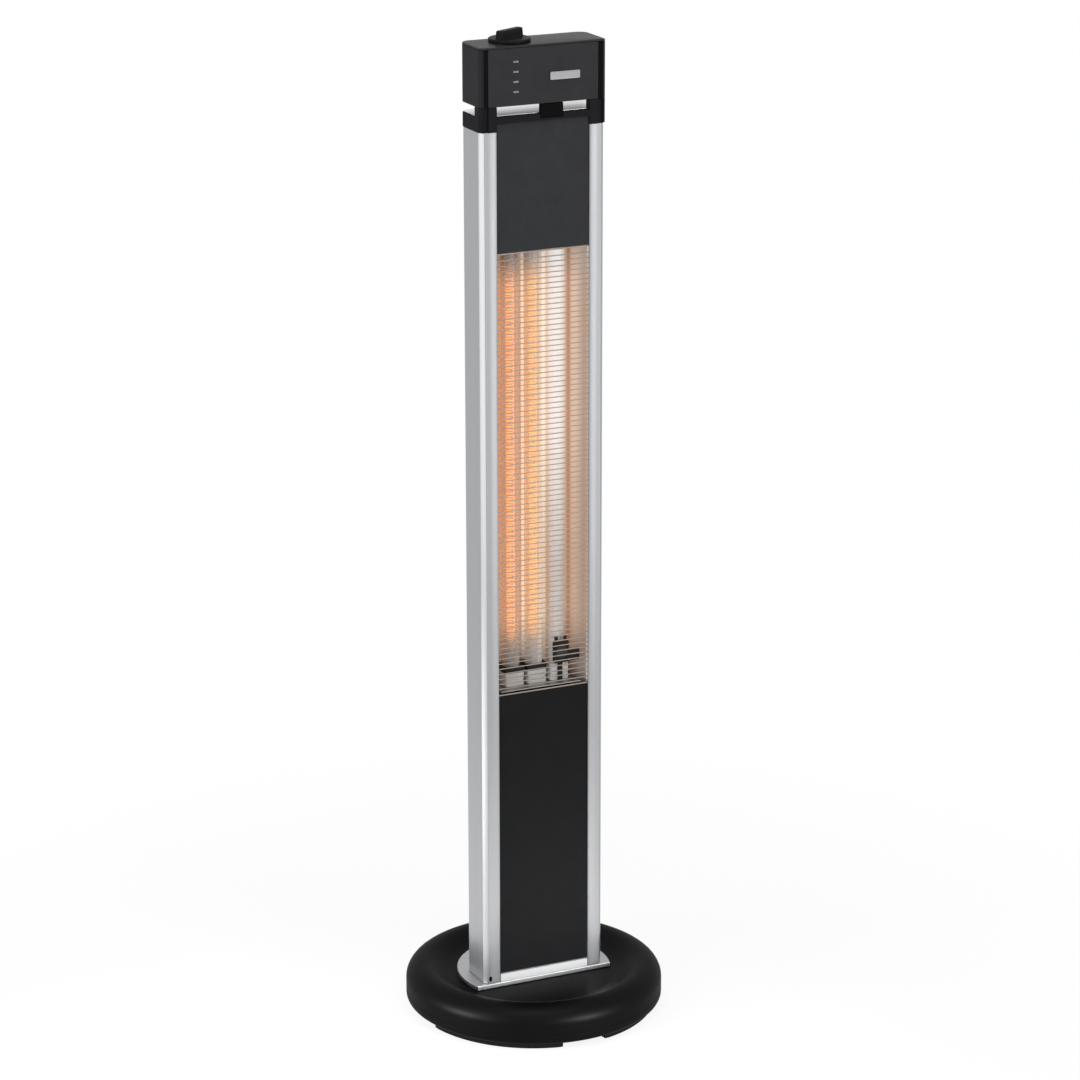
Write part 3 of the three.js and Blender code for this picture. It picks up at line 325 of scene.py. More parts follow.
def spread(tree, value, low, high, start=0.3, end=0.7):
    """A value from start to end, spread over low to high."""
    made = node(tree, "ShaderNodeMapRange", From_Min=start, From_Max=end, To_Min=low, To_Max=high)
    tree.links.new(value, made.inputs["Value"])
    return made.outputs["Result"]


def blend(tree, share, a, b):
    """Mixes two colours, given as tuples or sockets, by a share."""
    made = node(tree, "ShaderNodeMix", data_type="RGBA")
    plug(tree, (made.inputs[0], made.inputs[6], made.inputs[7]), share, a, b)
    return made.outputs[2]


def maths(tree, operation, a, b):
    """Two values put together; the second may be a plain number."""
    made = node(tree, "ShaderNodeMath", operation=operation)
    plug(tree, made.inputs, a, b)
    return made.outputs[0]


def along_axis(tree, coords, axis):
    """How far a point lies along an axis, in metres."""
    split = node(tree, "ShaderNodeSeparateXYZ")
    tree.links.new(coords, split.inputs[0])
    return split.outputs[axis]


def scaled(colour, factor):
    return tuple(min(c * factor, 1.0) for c in colour)


def finish(name, colour, rough, metal=0.0, specular=0.5, tint=0.12, tint_scale=35,
           rough_spread=0.07, grain=0.15, grain_scale=1800, grain_depth=0.03,
           stretch=(1, 1, 1), coat=0.0, coat_rough=0.1, wear=0.0, flecks=0.0, painted_shade_bands=()):
    """A procedural surface: cloudy colour and roughness, a fine grain, worn edges and flecks.

    Each band of painted shade turns the colour to another one between two places along X, in
    metres.
    """
    material = bpy.data.materials.new(name)
    material.use_nodes = True
    tree = material.node_tree
    shader = tree.nodes["Principled BSDF"]
    coords = node(tree, "ShaderNodeTexCoord").outputs["Object"]

    clouds = spread(tree, noise(tree, coords, tint_scale, 4.0, stretch), 0, 1)
    base = blend(tree, clouds, scaled(colour, 1 - tint), scaled(colour, 1 + tint))
    # each band paints shade along X
    for places, turned in painted_shade_bands:
        share = spread(tree, along_axis(tree, coords, "X"), 0, 1, *places)
        base = blend(tree, share, base, turned)
    if flecks:
        specks = noise(tree, coords, grain_scale * 0.6, 2.0)
        base = blend(tree, spread(tree, specks, 0, flecks, *FLECKS), base, scaled(colour, 2.2))
    if wear:
        edge = node(tree, "ShaderNodeNewGeometry").outputs["Pointiness"]
        base = blend(tree, spread(tree, edge, 0, wear, *WORN), base, scaled(colour, 2.0))

    dull = noise(tree, coords, tint_scale * 6, 5.0, stretch)
    dull = spread(tree, dull, max(rough - rough_spread, 0.02), rough + rough_spread)
    fine = noise(tree, coords, grain_scale, 3.0, stretch)
    bump = node(tree, "ShaderNodeBump", Strength=grain, Distance=grain_depth * MM)
    tree.links.new(fine, bump.inputs["Height"])

    for socket, value in (("Base Color", base), ("Roughness", dull),
                          ("Normal", bump.outputs["Normal"]), ("Metallic", metal),
                          ("Specular IOR Level", specular), ("Coat Weight", coat),
                          ("Coat Roughness", coat_rough)):
        plug(tree, [shader.inputs[socket]], value)
    return material


def opened(material):
    """A material's node tree and its shader."""
    return material.node_tree, material.node_tree.nodes["Principled BSDF"]


def share_along(tree, axis, low, high, fade):
    """A share of 1 between two places along an axis in metres, faded at both ends."""
    coords = node(tree, "ShaderNodeTexCoord").outputs["Object"]
    where = along_axis(tree, coords, axis)
    rise = spread(tree, where, 0, 1, low - fade, low + fade)
    fall = spread(tree, where, 1, 0, high - fade, high + fade)
    return maths(tree, "MULTIPLY", rise, fall)


def add_glow(material, colour, strength, zone, cold=None):
    """Makes a material glow in a zone (low, high, fade), as real glow or as painted light; cold is
    its colour outside it.
    """
    tree, shader = opened(material)
    share = share_along(tree, "Z", *zone)
    power = maths(tree, "MULTIPLY", share, strength)
    tree.links.new(power, shader.inputs["Emission Strength"])
    shader.inputs["Emission Color"].default_value = (*colour, 1)
    if cold:
        hot = shader.inputs["Base Color"].links[0].from_socket
        tree.links.new(blend(tree, share, cold, hot), shader.inputs["Base Color"])


def add_painted_stripe(material, x, half, colour, glow):
    """Lays an upright stripe of painted light, another colour and glow, at a place along X, in
    metres; a dark stripe paints shade.
    """
    tree, shader = opened(material)
    share = share_along(tree, "X", x - half, x + half, STRIPE_EDGE)
    for name, striped in (("Base Color", colour), ("Emission Color", glow)):
        socket = shader.inputs[name]
        linked = socket.is_linked
        plain = socket.links[0].from_socket if linked else tuple(socket.default_value)[:3]
        tree.links.new(blend(tree, share, plain, striped), socket)


def add_rim_with_painted_light(material, colour, cover, rim_cover):
    """Makes a glass let light through by its cover, and denser towards its rims, where its colour
    turns to a painted rim colour, lighter as a painted highlight or darker as painted shade.
    """
    tree, shader = opened(material)
    facing = node(tree, "ShaderNodeLayerWeight", Blend=0.5).outputs["Facing"]
    tree.links.new(spread(tree, facing, cover, rim_cover, *RIM), shader.inputs["Alpha"])
    body = shader.inputs["Base Color"].links[0].from_socket
    # the rim colour is painted light
    turned = blend(tree, spread(tree, facing, 0, 1, *RIM), body, colour)
    tree.links.new(turned, shader.inputs["Base Color"])


VERTICAL = (1, 1, 0.006)  # lines drawn out along the column
SIDEWAYS = (0.01, 1, 1)  # lines drawn out from side to side
METAL_GRAIN = dict(metal=1.0, tint=0.06, grain=0.25, grain_depth=0.02)
MOULDED = dict(specular=0.01, wear=0.25, grain=0.35, grain_scale=1500, grain_depth=0.05)
PANEL_PAINT = dict(specular=0.02, coat_rough=0.4, grain=0.3, grain_scale=1300,
                   grain_depth=0.04, wear=0.2, flecks=0.15)
FINE_PLASTIC = dict(specular=0.01, grain=0.3, grain_scale=1600, grain_depth=0.04)
QUARTZ = dict(tint=0.08, stretch=VERTICAL, tint_scale=260, coat=0.25, coat_rough=0.12, grain=0.1)
COIL = dict(metal=0.3, tint=0.1, tint_scale=300)

# name: (colour, roughness, what differs from a plain finish)
LOOKS = {
    "base_plastic": ((0.0013, 0.0013, 0.0016), 0.5, dict(
        MOULDED, rough_spread=0.05, coat=0.12, coat_rough=0.4)),
    "plate_steel": ((0.03, 0.03, 0.03), 0.5, dict(specular=0.3, tint_scale=90, grain=0.3)),
    "ballast_iron": ((0.05, 0.05, 0.052), 0.75, dict(
        metal=0.7, grain=0.8, grain_scale=500, grain_depth=0.3)),
    "fastener_steel": ((0.45, 0.45, 0.46), 0.3, METAL_GRAIN),
    "foot_rubber": ((0.006, 0.006, 0.006), 0.8, dict(specular=0.05, grain=0.5, grain_depth=0.08)),
    "inner_plastic": ((0.026, 0.026, 0.0265), 0.6, dict(specular=0.05)),
    "foot_plate_aluminium": ((0.385, 0.39, 0.395), 0.45, dict(METAL_GRAIN, stretch=SIDEWAYS)),
    "profile_aluminium": ((0.355, 0.36, 0.37), 0.37, dict(
        metal=0.85, specular=0.3, stretch=VERTICAL, tint_scale=200, tint=0.03,
        rough_spread=0.03, grain=0.12, grain_depth=0.01)),
    "lower_panel_paint": ((0.0072, 0.0074, 0.008), 0.5, dict(PANEL_PAINT, coat=0.1)),
    "upper_panel_paint": ((0.0258, 0.0266, 0.03), 0.5, dict(PANEL_PAINT, coat=0.15)),
    "rear_cover_paint": ((0.018, 0.0185, 0.0195), 0.52, dict(
        PANEL_PAINT, coat=0.15, grain=0.35, grain_depth=0.05, wear=0.25, flecks=0.2)),
    "grille_steel": ((0.3, 0.26, 0.23), 0.5, dict(METAL_GRAIN, tint_scale=120)),
    "lit_quartz": ((0.76, 0.62, 0.44), 0.22, QUARTZ),
    # a copy of lit_quartz with painted shade, for the tube in the left profile's shade
    "shaded_quartz": ((0.74, 0.53, 0.42), 0.22, QUARTZ),
    "unlit_quartz": ((0.86, 0.84, 0.82), 0.22, dict(
        QUARTZ, tint=0.05, coat=0.5, coat_rough=0.08)),
    "lit_coil": ((0.9, 0.4, 0.12), 0.6, COIL),
    "amber_coil": ((0.85, 0.5, 0.18), 0.6, COIL),
    "unlit_coil": ((0.33, 0.31, 0.3), 0.5, dict(COIL, metal=0.8, tint=0.2)),
    "end_ceramic": ((0.62, 0.6, 0.57), 0.6, dict(
        specular=0.3, tint=0.08, tint_scale=120, grain=0.4, grain_scale=900,
        grain_depth=0.08, flecks=0.1)),
    # painted shade on the reflector: darker towards -X, where the left profile shades it, and
    # along the right side of its mouth
    "reflector_aluminium": ((0.66, 0.62, 0.59), 0.42, dict(
        metal=0.8, specular=0.3, stretch=VERTICAL, tint_scale=300, tint=0.06, grain=0.25,
        grain_depth=0.02, painted_shade_bands=(((0.006, -0.008), (0.44, 0.36, 0.31)),
                                 ((0.0505, 0.0545), (0.24, 0.23, 0.23))))),
    "shield_aluminium": ((0.72, 0.72, 0.73), 0.3, dict(METAL_GRAIN, stretch=SIDEWAYS)),
    "bracket_steel": ((0.42, 0.41, 0.4), 0.35, dict(METAL_GRAIN, tint_scale=90)),
    "sill_aluminium": ((0.5, 0.505, 0.51), 0.5, dict(
        metal=0.3, specular=0.3, stretch=SIDEWAYS, tint=0.05, grain=0.2, grain_depth=0.02)),
    "head_plastic": ((0.014, 0.014, 0.0163), 0.5, dict(MOULDED, coat=0.14, coat_rough=0.36)),
    "collar_plastic": ((0.009, 0.009, 0.0105), 0.5, dict(MOULDED, coat=0.06, coat_rough=0.36)),
    "fascia_plastic": ((0.024, 0.024, 0.0272), 0.46, dict(
        FINE_PLASTIC, wear=0.2, coat=0.15, coat_rough=0.36)),
    "head_top_plastic": ((0.022, 0.022, 0.025), 0.42, dict(
        MOULDED, coat=0.27, coat_rough=0.3, grain=0.3)),
    "window_gloss": ((0.0012, 0.0012, 0.0015), 0.3, dict(
        specular=0.01, rough_spread=0.02, grain=0.03, coat=0.02, coat_rough=0.05)),
    "indicator_lens": ((0.13, 0.13, 0.142), 0.3, dict(tint=0.08, coat=0.15)),
    "badge_steel": ((0.21, 0.21, 0.22), 0.36, dict(
        METAL_GRAIN, stretch=SIDEWAYS, tint_scale=200)),
    "board_resin": ((0.02, 0.11, 0.045), 0.4, dict(tint=0.2)),
    "knob_plastic": ((0.008, 0.008, 0.009), 0.5, dict(
        FINE_PLASTIC, specular=0.02, wear=0.3, coat=0.12, coat_rough=0.3)),
    "gland_plastic": ((0.014, 0.014, 0.015), 0.5, dict(specular=0.2, wear=0.3)),
    "loom_rubber": ((0.012, 0.012, 0.012), 0.65, dict(specular=0.1, grain=0.4)),
}

HOT_LOW = 0.452  # the elements glow between these heights
HOT_HIGH = 0.882
HOT_ZONE = (HOT_LOW, HOT_HIGH, 0.016)
COLD_COIL = (0.3, 0.29, 0.28)

# (finish, colour, strength, zone, colour outside the zone); the coils and lit quartz really glow,
# the reflector, grille and unlit tube carry painted light
GLOWS_AND_PAINTED_LIGHT = (
    ("lit_quartz", (1.0, 0.58, 0.3), 0.13, HOT_ZONE, (0.78, 0.76, 0.76)),
    # painted shade: the shaded tube's cold ends are darker
    ("shaded_quartz", (1.0, 0.58, 0.3), 0.13, HOT_ZONE, (0.5, 0.49, 0.48)),
    # painted light: the unlit tube glows white in its upper part
    ("unlit_quartz", (1.0, 0.95, 0.91), 0.28, (0.62, 1.0, 0.08), None),
    ("lit_coil", (1.0, 0.43, 0.1), 1.5, HOT_ZONE, COLD_COIL),
    ("amber_coil", (1.0, 0.5, 0.14), 1.15, HOT_ZONE, COLD_COIL),
    # painted light: the reflector glows with the tubes' warm light and is lighter and warmer in
    # the hot zone than its cold colour
    ("reflector_aluminium", (0.58, 0.355, 0.225), 0.45, (HOT_LOW - 0.02, HOT_HIGH + 0.02, 0.04),
     (0.56, 0.55, 0.54)),
    # painted light: the grille's wires glow with the tubes' light
    ("grille_steel", (1.0, 0.58, 0.34), 0.11, (HOT_LOW, HOT_HIGH, 0.03), None),
)
# painted stripes on the reflector, two painted highlights between the tubes and a painted shade
# line at its right corner: (place along X, half width, colour, glow)
PAINTED_STRIPES = (
    (-0.0063, 0.0022, (0.8, 0.84, 0.84), (0.76, 0.74, 0.62)),
    (0.0195, 0.0022, (0.8, 0.82, 0.82), (0.98, 0.74, 0.52)),
    (0.0474, 0.0009, (0.34, 0.25, 0.2), (0.5, 0.27, 0.17)),
)
# (finish, colour painted on the rim, cover in the middle, cover at the rim); lit_quartz gets a
# painted highlight on its rims, the shaded tube painted shade
RIMS_WITH_PAINTED_LIGHT = (
    ("lit_quartz", (1.0, 0.9, 0.8), 0.36, 0.95),
    ("shaded_quartz", (0.66, 0.49, 0.4), 0.36, 0.6),
    ("unlit_quartz", (0.72, 0.67, 0.64), 0.8, 0.95),
)

FINISHES = {name: finish(name, colour, rough, **more)
            for name, (colour, rough, more) in LOOKS.items()}
for finish_name, *glow in GLOWS_AND_PAINTED_LIGHT:
    add_glow(FINISHES[finish_name], *glow)
for stripe in PAINTED_STRIPES:
    add_painted_stripe(FINISHES["reflector_aluminium"], *stripe)
for finish_name, *rim in RIMS_WITH_PAINTED_LIGHT:
    add_rim_with_painted_light(FINISHES[finish_name], *rim)

# ---------------- placing pieces


def add_bevel(piece, width, sharp):
    """A fine bevel in millimetres along edges sharper than an angle in degrees."""
    step = piece.modifiers.new("edges", "BEVEL")
    step.width, step.segments, step.limit_method = width * MM, 2, "ANGLE"
    step.angle_limit = math.radians(sharp)


def soften(piece, bevel=0.0, sharp=32.0):
    """Smooth shading with crisp edges, and a fine bevel where asked."""
    piece.data.polygons.foreach_set("use_smooth", [True] * len(piece.data.polygons))
    piece.data.set_sharp_from_angle(angle=math.radians(sharp))
    if bevel:
        add_bevel(piece, bevel, sharp)
    step = piece.modifiers.new("normals", "WEIGHTED_NORMAL")
    step.keep_sharp = True


def place(piece, slot, *nodes, body="tower", bevel=0.0, sharp=32.0, look=None):
    """Finishes a piece, rides it on its body and lets it stand for CAD nodes."""
    piece.data.materials.clear()
    piece.data.materials.append(FINISHES[look or slot])
    soften(piece, bevel, sharp)
    if nodes:
        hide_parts(*nodes)
    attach(piece, body)


def spans(name):
    """Where a CAD node starts and ends along X, Y and Z, in millimetres."""
    return tuple(zip(*(tuple(corner / MM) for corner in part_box(name))))


def middle(name):
    return tuple((a + b) / 2 for a, b in spans(name))


def eased(span):
    """A span with the clearance added at both ends."""
    return span[0] - GAP, span[1] + GAP


# ---------------- base

ROUND = 160  # sides of the base cover

(_, BASE_RADIUS), _, (HEM_Z, CREST) = spans("base_cover")
SEAT = spans("foot_plate")[2][0] - GAP
SEAT_RADIUS = 93.6
SEAT_STEPS = 20
CREST_RADIUS = BASE_RADIUS - 22
SHOULDER_Z = CREST - 20
HEM_RADIUS = 7
COVER_WALL = 3
COVER_BORE = 12
SEAM = ((0, 6.5), (0.35, 6.1), (0.35, 5.5), (0, 5.1))  # depth in the wall, height over the hem

FOOT_SET_IN = 9  # from the base's rim
FOOT_WIDTH = 16
FOOT_CORNER = 1.2
FOOT_SPAN = 68  # degrees round the base
FOOT_STEPS = 34
FOOT_END = 0.35  # how much slimmer a foot's end faces are
TREAD = ((0.0, 0.0), (0.4, 0.9), (1.2, 0.9), (1.6, 0.0))  # a groove: across and up
TREAD_PLACES = (0, 4, 8)


def cover_line(inset):
    """The base cover's top line from seat to wall, lowered by an inset."""
    start = SEAT_RADIUS + inset
    line = []
    for i in range(SEAT_STEPS):
        share = i / SEAT_STEPS
        rise = (CREST - SEAT) * (1 - math.cos(math.pi * share)) / 2
        line.append((start + (CREST_RADIUS - start) * share, SEAT + rise - inset))
    return line + arc(CREST_RADIUS, SHOULDER_Z, BASE_RADIUS - CREST_RADIUS - inset,
                      CREST - SHOULDER_Z - inset, 90, 0, 12)


def build_feet():
    """Curved rubber feet with three grooves underneath."""
    outer = BASE_RADIUS - FOOT_SET_IN
    inner = outer - FOOT_WIDTH
    top = spans("foot_arc_1")[2][1]
    c = FOOT_CORNER
    grooves = []
    for place_in in TREAD_PLACES:
        start = inner + 3.2 + place_in
        grooves += [(start + across, up) for across, up in TREAD]
    section = ([(inner + 1, 0.0)] + grooves
               + quarters((outer - c, c, c, -90, 3), (outer - c, top - c, c, 0, 3),
                          (inner + c, top - c, c, 90, 3)) + [(inner, c)])
    for number in range(4):
        start = 45 + 90 * number - FOOT_SPAN / 2
        rings = []
        for i in range(FOOT_STEPS + 1):
            inset = FOOT_END if i in (0, FOOT_STEPS) else 0.0
            angle = math.radians(start + FOOT_SPAN / FOOT_STEPS * i)
            rings.append([(r * math.cos(angle), r * math.sin(angle), z)
                          for r, z in shrink(section, inset)])
        place(make(f"base_foot_{number + 1}", (rings, False)),
              "foot_rubber", f"foot_arc_{number + 1}")


def build_base():
    hem_top = HEM_Z + HEM_RADIUS
    hem_inner = BASE_RADIUS - HEM_RADIUS - COVER_WALL
    seam = [(BASE_RADIUS - depth, hem_top + height) for depth, height in SEAM]
    hem = arc(BASE_RADIUS - HEM_RADIUS, hem_top, HEM_RADIUS, HEM_RADIUS, 0, -90, 8)
    inside = [(hem_inner, HEM_Z), (hem_inner, HEM_Z + 3), (BASE_RADIUS - COVER_WALL, HEM_Z + 9.5)]
    profile = ([(COVER_BORE, SEAT)] + cover_line(0) + seam + hem + inside
               + cover_line(COVER_WALL)[::-1] + [(COVER_BORE, SEAT - COVER_WALL)])
    place(make("base_shell", lathe(profile, ROUND, closed=True)),
          "base_plastic", "base_cover", sharp=28)

    build_feet()

    (_, radius), (flat, _), z = spans("foot_plate")
    half = math.degrees(math.asin(-flat / radius))
    outline = arc(0, 0, radius, radius, -half, 180 + half, 110)
    place(make("foot_disc", slab(outline, *z, 0.9)), "foot_plate_aluminium", "foot_plate")


# ---------------- column

(_, HALF_WIDTH), (FRONT, BACK), PROFILE_Z = spans("side_profile_right")
WALL = 2.2
FLANGE_X = 56.0  # inner edge of the front flange
LIP_X = HALF_WIDTH - 22  # inner edge of the lip at the back
CROWN = 0.45  # how far the front flange is domed
CROWN_STEPS = 8
CORNER = 5  # front corners of the head and collar
PROFILE_CORNER = 7.5
BACK_CORNER = 12

FACET = 5.5  # how far the profile's front corner is flattened
FACET_EDGE = 1.6  # radius where it runs into the flange and the side
STEEP, SHALLOW = 48, 28  # angles between which it is nearly flat
COS_STEEP, COS_SHALLOW = (math.cos(math.radians(angle)) for angle in (STEEP, SHALLOW))
FACET_BOW = (FACET - FACET_EDGE * (1 + COS_STEEP - COS_SHALLOW)) / (COS_SHALLOW - COS_STEEP)
FACET_LEGS = ((FACET_EDGE, -85, -STEEP), (FACET_BOW, -STEEP, -SHALLOW),
              (FACET_EDGE, -SHALLOW, 0))


def profile_paths():
    """Outer and inner paths of the right profile, point for point."""
    corner_x = HALF_WIDTH - PROFILE_CORNER
    crown_x = (FLANGE_X + HALF_WIDTH - PROFILE_CORNER + 1) / 2
    reach = corner_x + 1 - crown_x
    outer = [(FLANGE_X, FRONT + CROWN + 0.8), (FLANGE_X + 0.25, FRONT + CROWN + 0.2)]
    inner = [(FLANGE_X, FRONT + WALL), (FLANGE_X + 0.3, FRONT + WALL)]
    for i in range(CROWN_STEPS + 1):
        x = FLANGE_X + 0.8 + (corner_x + 0.6 - FLANGE_X - 0.8) * i / CROWN_STEPS
        outer.append((x, FRONT + CROWN * ((x - crown_x) / reach) ** 2))
        inner_x = max(x, FLANGE_X + 0.6) if x < corner_x else corner_x - 0.01 * i
        inner.append((inner_x, FRONT + WALL))
    outer += chained(HALF_WIDTH - FACET, FRONT + CROWN + FACET_EDGE, FACET_LEGS)
    radius = PROFILE_CORNER - WALL
    inner += arc(corner_x, FRONT + PROFILE_CORNER, radius, radius, -86, 0, 9)
    for path, radius in ((outer, BACK_CORNER), (inner, BACK_CORNER - WALL)):
        path += arc(HALF_WIDTH - BACK_CORNER, BACK - BACK_CORNER, radius, radius, 0, 90, 12)
    outer.append((LIP_X, BACK))
    inner.append((LIP_X, BACK - WALL))
    return outer, inner


def build_column():
    outer, inner = profile_paths()
    low, high = PROFILE_Z
    left = make("aluminium_side_left", strip(mirrored(outer), mirrored(inner), low, high))
    slot_x = CORNER - HALF_WIDTH
    combine(left, upright((slot_x, slot_x + 3.5), (low + 3, low + 9), 1.2,
                          (FRONT - 1, FRONT + 4), CRISP, 1))
    place(left, "profile_aluminium", "side_profile_left", sharp=28)
    right = make("aluminium_side_right", strip(outer, inner, low, high))
    place(right, "profile_aluminium", "side_profile_right", sharp=28)

    x, (y0, y1), (z0, z1) = spans("bottom_rail")
    _, panel_y, panel_z = spans("lower_front_panel")
    lip_y, rail_top = panel_y[1] + GAP, panel_z[0] - GAP
    section = [(y0, z0), (y1, z0), (y1, z1), (lip_y, z1), (lip_y, rail_top), (y0, rail_top)]
    place(make("sill_rail", slab(section, *x, 0.5, axis="x")),
          "profile_aluminium", "bottom_rail", look="sill_aluminium")

    for end in ("lower", "upper"):
        x, y, z = spans(f"{end}_front_panel")
        place(make(f"{end}_panel", upright(x, z, 1.5, y)),
              f"{end}_panel_paint", f"{end}_front_panel")


VENT_HALF = 30
VENT_ROWS = 6
VENT_PITCH = 10
VENT_HEIGHT = 4
VENTS_FROM = (300, 965)  # where the lower and the upper group start
VENT_EDGE = 0.001
GLAND_HOLE = 6.3


def screw_head(x, z):
    """A domed screw head with its shank, at the back of the column."""
    radius, height = 3.6, 2.0
    dome = [(radius, 0.3), (radius, 0.7)] + [
        (radius * math.cos(a), 0.7 + (height - 0.7) * math.sin(a))
        for a in (math.radians(15 * k) for k in range(1, 6))]
    return moved(lathe([(1.7, -6.0), (1.7, 0.3)] + dome, 28), (x, BACK, z), BACKWARD)


def cross_recess(x, z):
    """The two arms to cut out of a screw head."""
    return [moved(slab(rounded((-w, w), (-d, d), 0.1, 2), 0.9, 3.0, 0.05, steps=1),
                  (x, BACK, z), BACKWARD) for w, d in ((2.1, 0.45), (0.45, 2.1))]


def build_back():
    x, y, z = spans("rear_cover")
    cover = make("rear_cover_sheet", upright(x, z, 2, y, 0.3, 2))
    through = (y[0] - 2, y[1] + 2)
    holes = []
    for start in VENTS_FROM:
        for i in range(VENT_ROWS):
            z = start + i * VENT_PITCH
            holes.append(upright((-VENT_HALF, VENT_HALF), (z, z + VENT_HEIGHT), 1.9, through,
                                 VENT_EDGE, 1, 5))
    gland = middle("cable_gland")
    holes.append(slab(circle(GLAND_HOLE, 32, gland[0], gland[2]), *through, VENT_EDGE,
                      axis="y", steps=1))
    carve(cover, *holes)
    place(cover, "rear_cover_paint", "rear_cover", bevel=0.25)

    for number in range(1, 5):
        x, _, z = middle(f"rear_screw_{number}")
        piece = make(f"rear_fixing_{number}", screw_head(x, z))
        combine(piece, *cross_recess(x, z))
        place(piece, "fastener_steel", f"rear_screw_{number}", sharp=25)


def build_grille():
    (x0, x1), y, (z0, z1) = spans("grille")
    border, thin, wire, pitch = 2.5, 1.6, 0.66, 6.0
    mid_y = (y[0] + y[1]) / 2
    between = (x0 + border, x1 - border)
    bars = [upright(x, z, corner, y) for x, z, corner in (
        ((x0, x0 + border), (z0, z1), 0.7), ((x1 - border, x1), (z0, z1), 0.7),
        (between, (z0, z0 + thin), 0.5), (between, (z1 - thin, z1), 0.5))]
    count = int((z1 - z0 - 2 * wire) // pitch)
    first = (z0 + z1 - count * pitch) / 2
    for i in range(1, count):
        z = first + i * pitch
        bars.append(rod([(x, mid_y, z) for x in (between[0] - 0.4, 0, between[1] + 0.4)],
                        wire, 12))
    place(make("wire_grille", *bars), "grille_steel", "grille", sharp=40)


# ---------------- heating elements

TUBES = 3
LIT_TUBES = 2
TUBE_SIDES = 48
TUBE_WALL = 1.5
COIL_RADIUS = 4.5
COIL_PITCH = 3.4
COIL_STEPS = 14  # points in a turn
COIL_PAST = 6  # how far the coil runs on past the glow
COIL_OPENING = 60  # it opens to its full radius over this part of its length
CAP_HALF = 12.0
SOCKET_FLOOR = 6.5


def coil_path(x, y, low, high):
    """A straight lead, a helix over the hot zone, and a straight lead."""
    hot_low, hot_high = HOT_LOW / MM - COIL_PAST, HOT_HIGH / MM + COIL_PAST
    path = [(x, y, low), (x, y, (low + hot_low) / 2)]
    turns = (hot_high - hot_low) / COIL_PITCH
    steps = int(turns * COIL_STEPS)
    for i in range(steps + 1):
        share = i / steps
        angle = 2 * math.pi * turns * share
        radius = COIL_RADIUS * min(1.0, share * COIL_OPENING, (1 - share) * COIL_OPENING)
        path.append((x + radius * math.cos(angle), y + radius * math.sin(angle),
                     hot_low + (hot_high - hot_low) * share))
    return path + [(x, y, (high + hot_high) / 2), (x, y, high)]


def end_cap(x, y, low, high, up=True):
    """A ceramic holder: a soft-edged block with a round socket and a waist groove."""
    half = CAP_HALF
    rings = levels(squircle, (
        (half - 0.8, low), (half, low + 0.8), (half, low + 6), (half - 0.7, low + 6.8),
        (half - 0.7, low + 8.2), (half, low + 9), (half, high - 0.8), (half - 0.8, high),
    ), TUBE_SIDES)
    rings += levels(circle, ((10.9, high), (10.3, high - 0.6), (10.3, low + SOCKET_FLOOR)),
                    TUBE_SIDES)
    if not up:
        rings = [[(px, py, low + high - z) for px, py, z in ring] for ring in rings]
    return moved((rings, False), (x, y, 0))


def socket_shade_band(x, y, top):
    """A dark band round the open end of a ceramic holder whose top is given: painted shade at the
    holder's open top.
    """
    outer, clear, mouth = 12.45, 12.08, 10.5
    rings = levels(squircle, ((outer, top - 4), (outer, top + 2.2)), TUBE_SIDES)
    rings += levels(circle, ((mouth, top + 2.2), (mouth, top + 0.2)), TUBE_SIDES)
    rings += levels(squircle, ((clear, top + 0.2), (clear, top - 4)), TUBE_SIDES)
    return moved((rings, True), (x, y, 0))


def build_elements():
    for number in range(1, TUBES + 1):
        (x0, x1), _, (z0, z1) = spans(f"quartz_tube_{number}")
        x, y, _ = middle(f"quartz_tube_{number}")
        outer, inner = (x1 - x0) / 2, (x1 - x0) / 2 - TUBE_WALL
        wall = [(outer - 0.5, z0), (outer, z0 + 0.5), (outer, z1 - 0.5), (outer - 0.5, z1),
                (inner + 0.4, z1), (inner, z1 - 0.4), (inner, z0 + 0.4), (inner + 0.4, z0)]
        lit = number <= LIT_TUBES
        # tube 1 takes the quartz with painted shade
        place(make(f"quartz_{number}", lathe(wall, TUBE_SIDES, True, x, y)),
              "lit_quartz" if lit else "unlit_quartz", f"quartz_tube_{number}",
              look="shaded_quartz" if number == 1 else None)
        place(make(f"element_{number}", rod(coil_path(x, y, z0 + 0.4, z1 - 0.4), 0.5, 6)),
              "lit_coil" if lit else "unlit_coil", f"heating_coil_{number}", sharp=70,
              look="amber_coil" if number == 2 else None)

        low, high = spans(f"lower_end_cap_{number}")[2]
        place(make(f"socket_low_{number}", end_cap(x, y, low, high)),
              "end_ceramic", f"lower_end_cap_{number}")
        # the lower holders of the lit tubes get a dark band: painted shade at their tops
        if lit:
            place(make(f"socket_band_{number}", socket_shade_band(x, y, high)), "inner_plastic")
        low, high = spans(f"upper_end_cap_{number}")[2]
        place(make(f"socket_high_{number}", end_cap(x, y, low, high, up=False)),
              "end_ceramic", f"upper_end_cap_{number}")


def build_reflector():
    (_, x1), (y0, y1), z = spans("reflector")
    sheet, mouth, back = 1.0, x1 - 1.6, 46.5
    front = y0 + sheet
    right = [(1.0, y1), (12.6, y1), (14.0, y1 - 2.5), (15.4, y1), (back - 1.5, y1),
             (back + 0.25, y1 - 1.6), (mouth - 0.3, front + 1.8), (mouth + 1.2, front),
             (x1, front)]
    path = mirrored(right)[::-1] + right
    place(make("reflector_channel", strip(path, offset(path, -sheet), *z, 0.2)),
          "reflector_aluminium", "reflector", sharp=20)


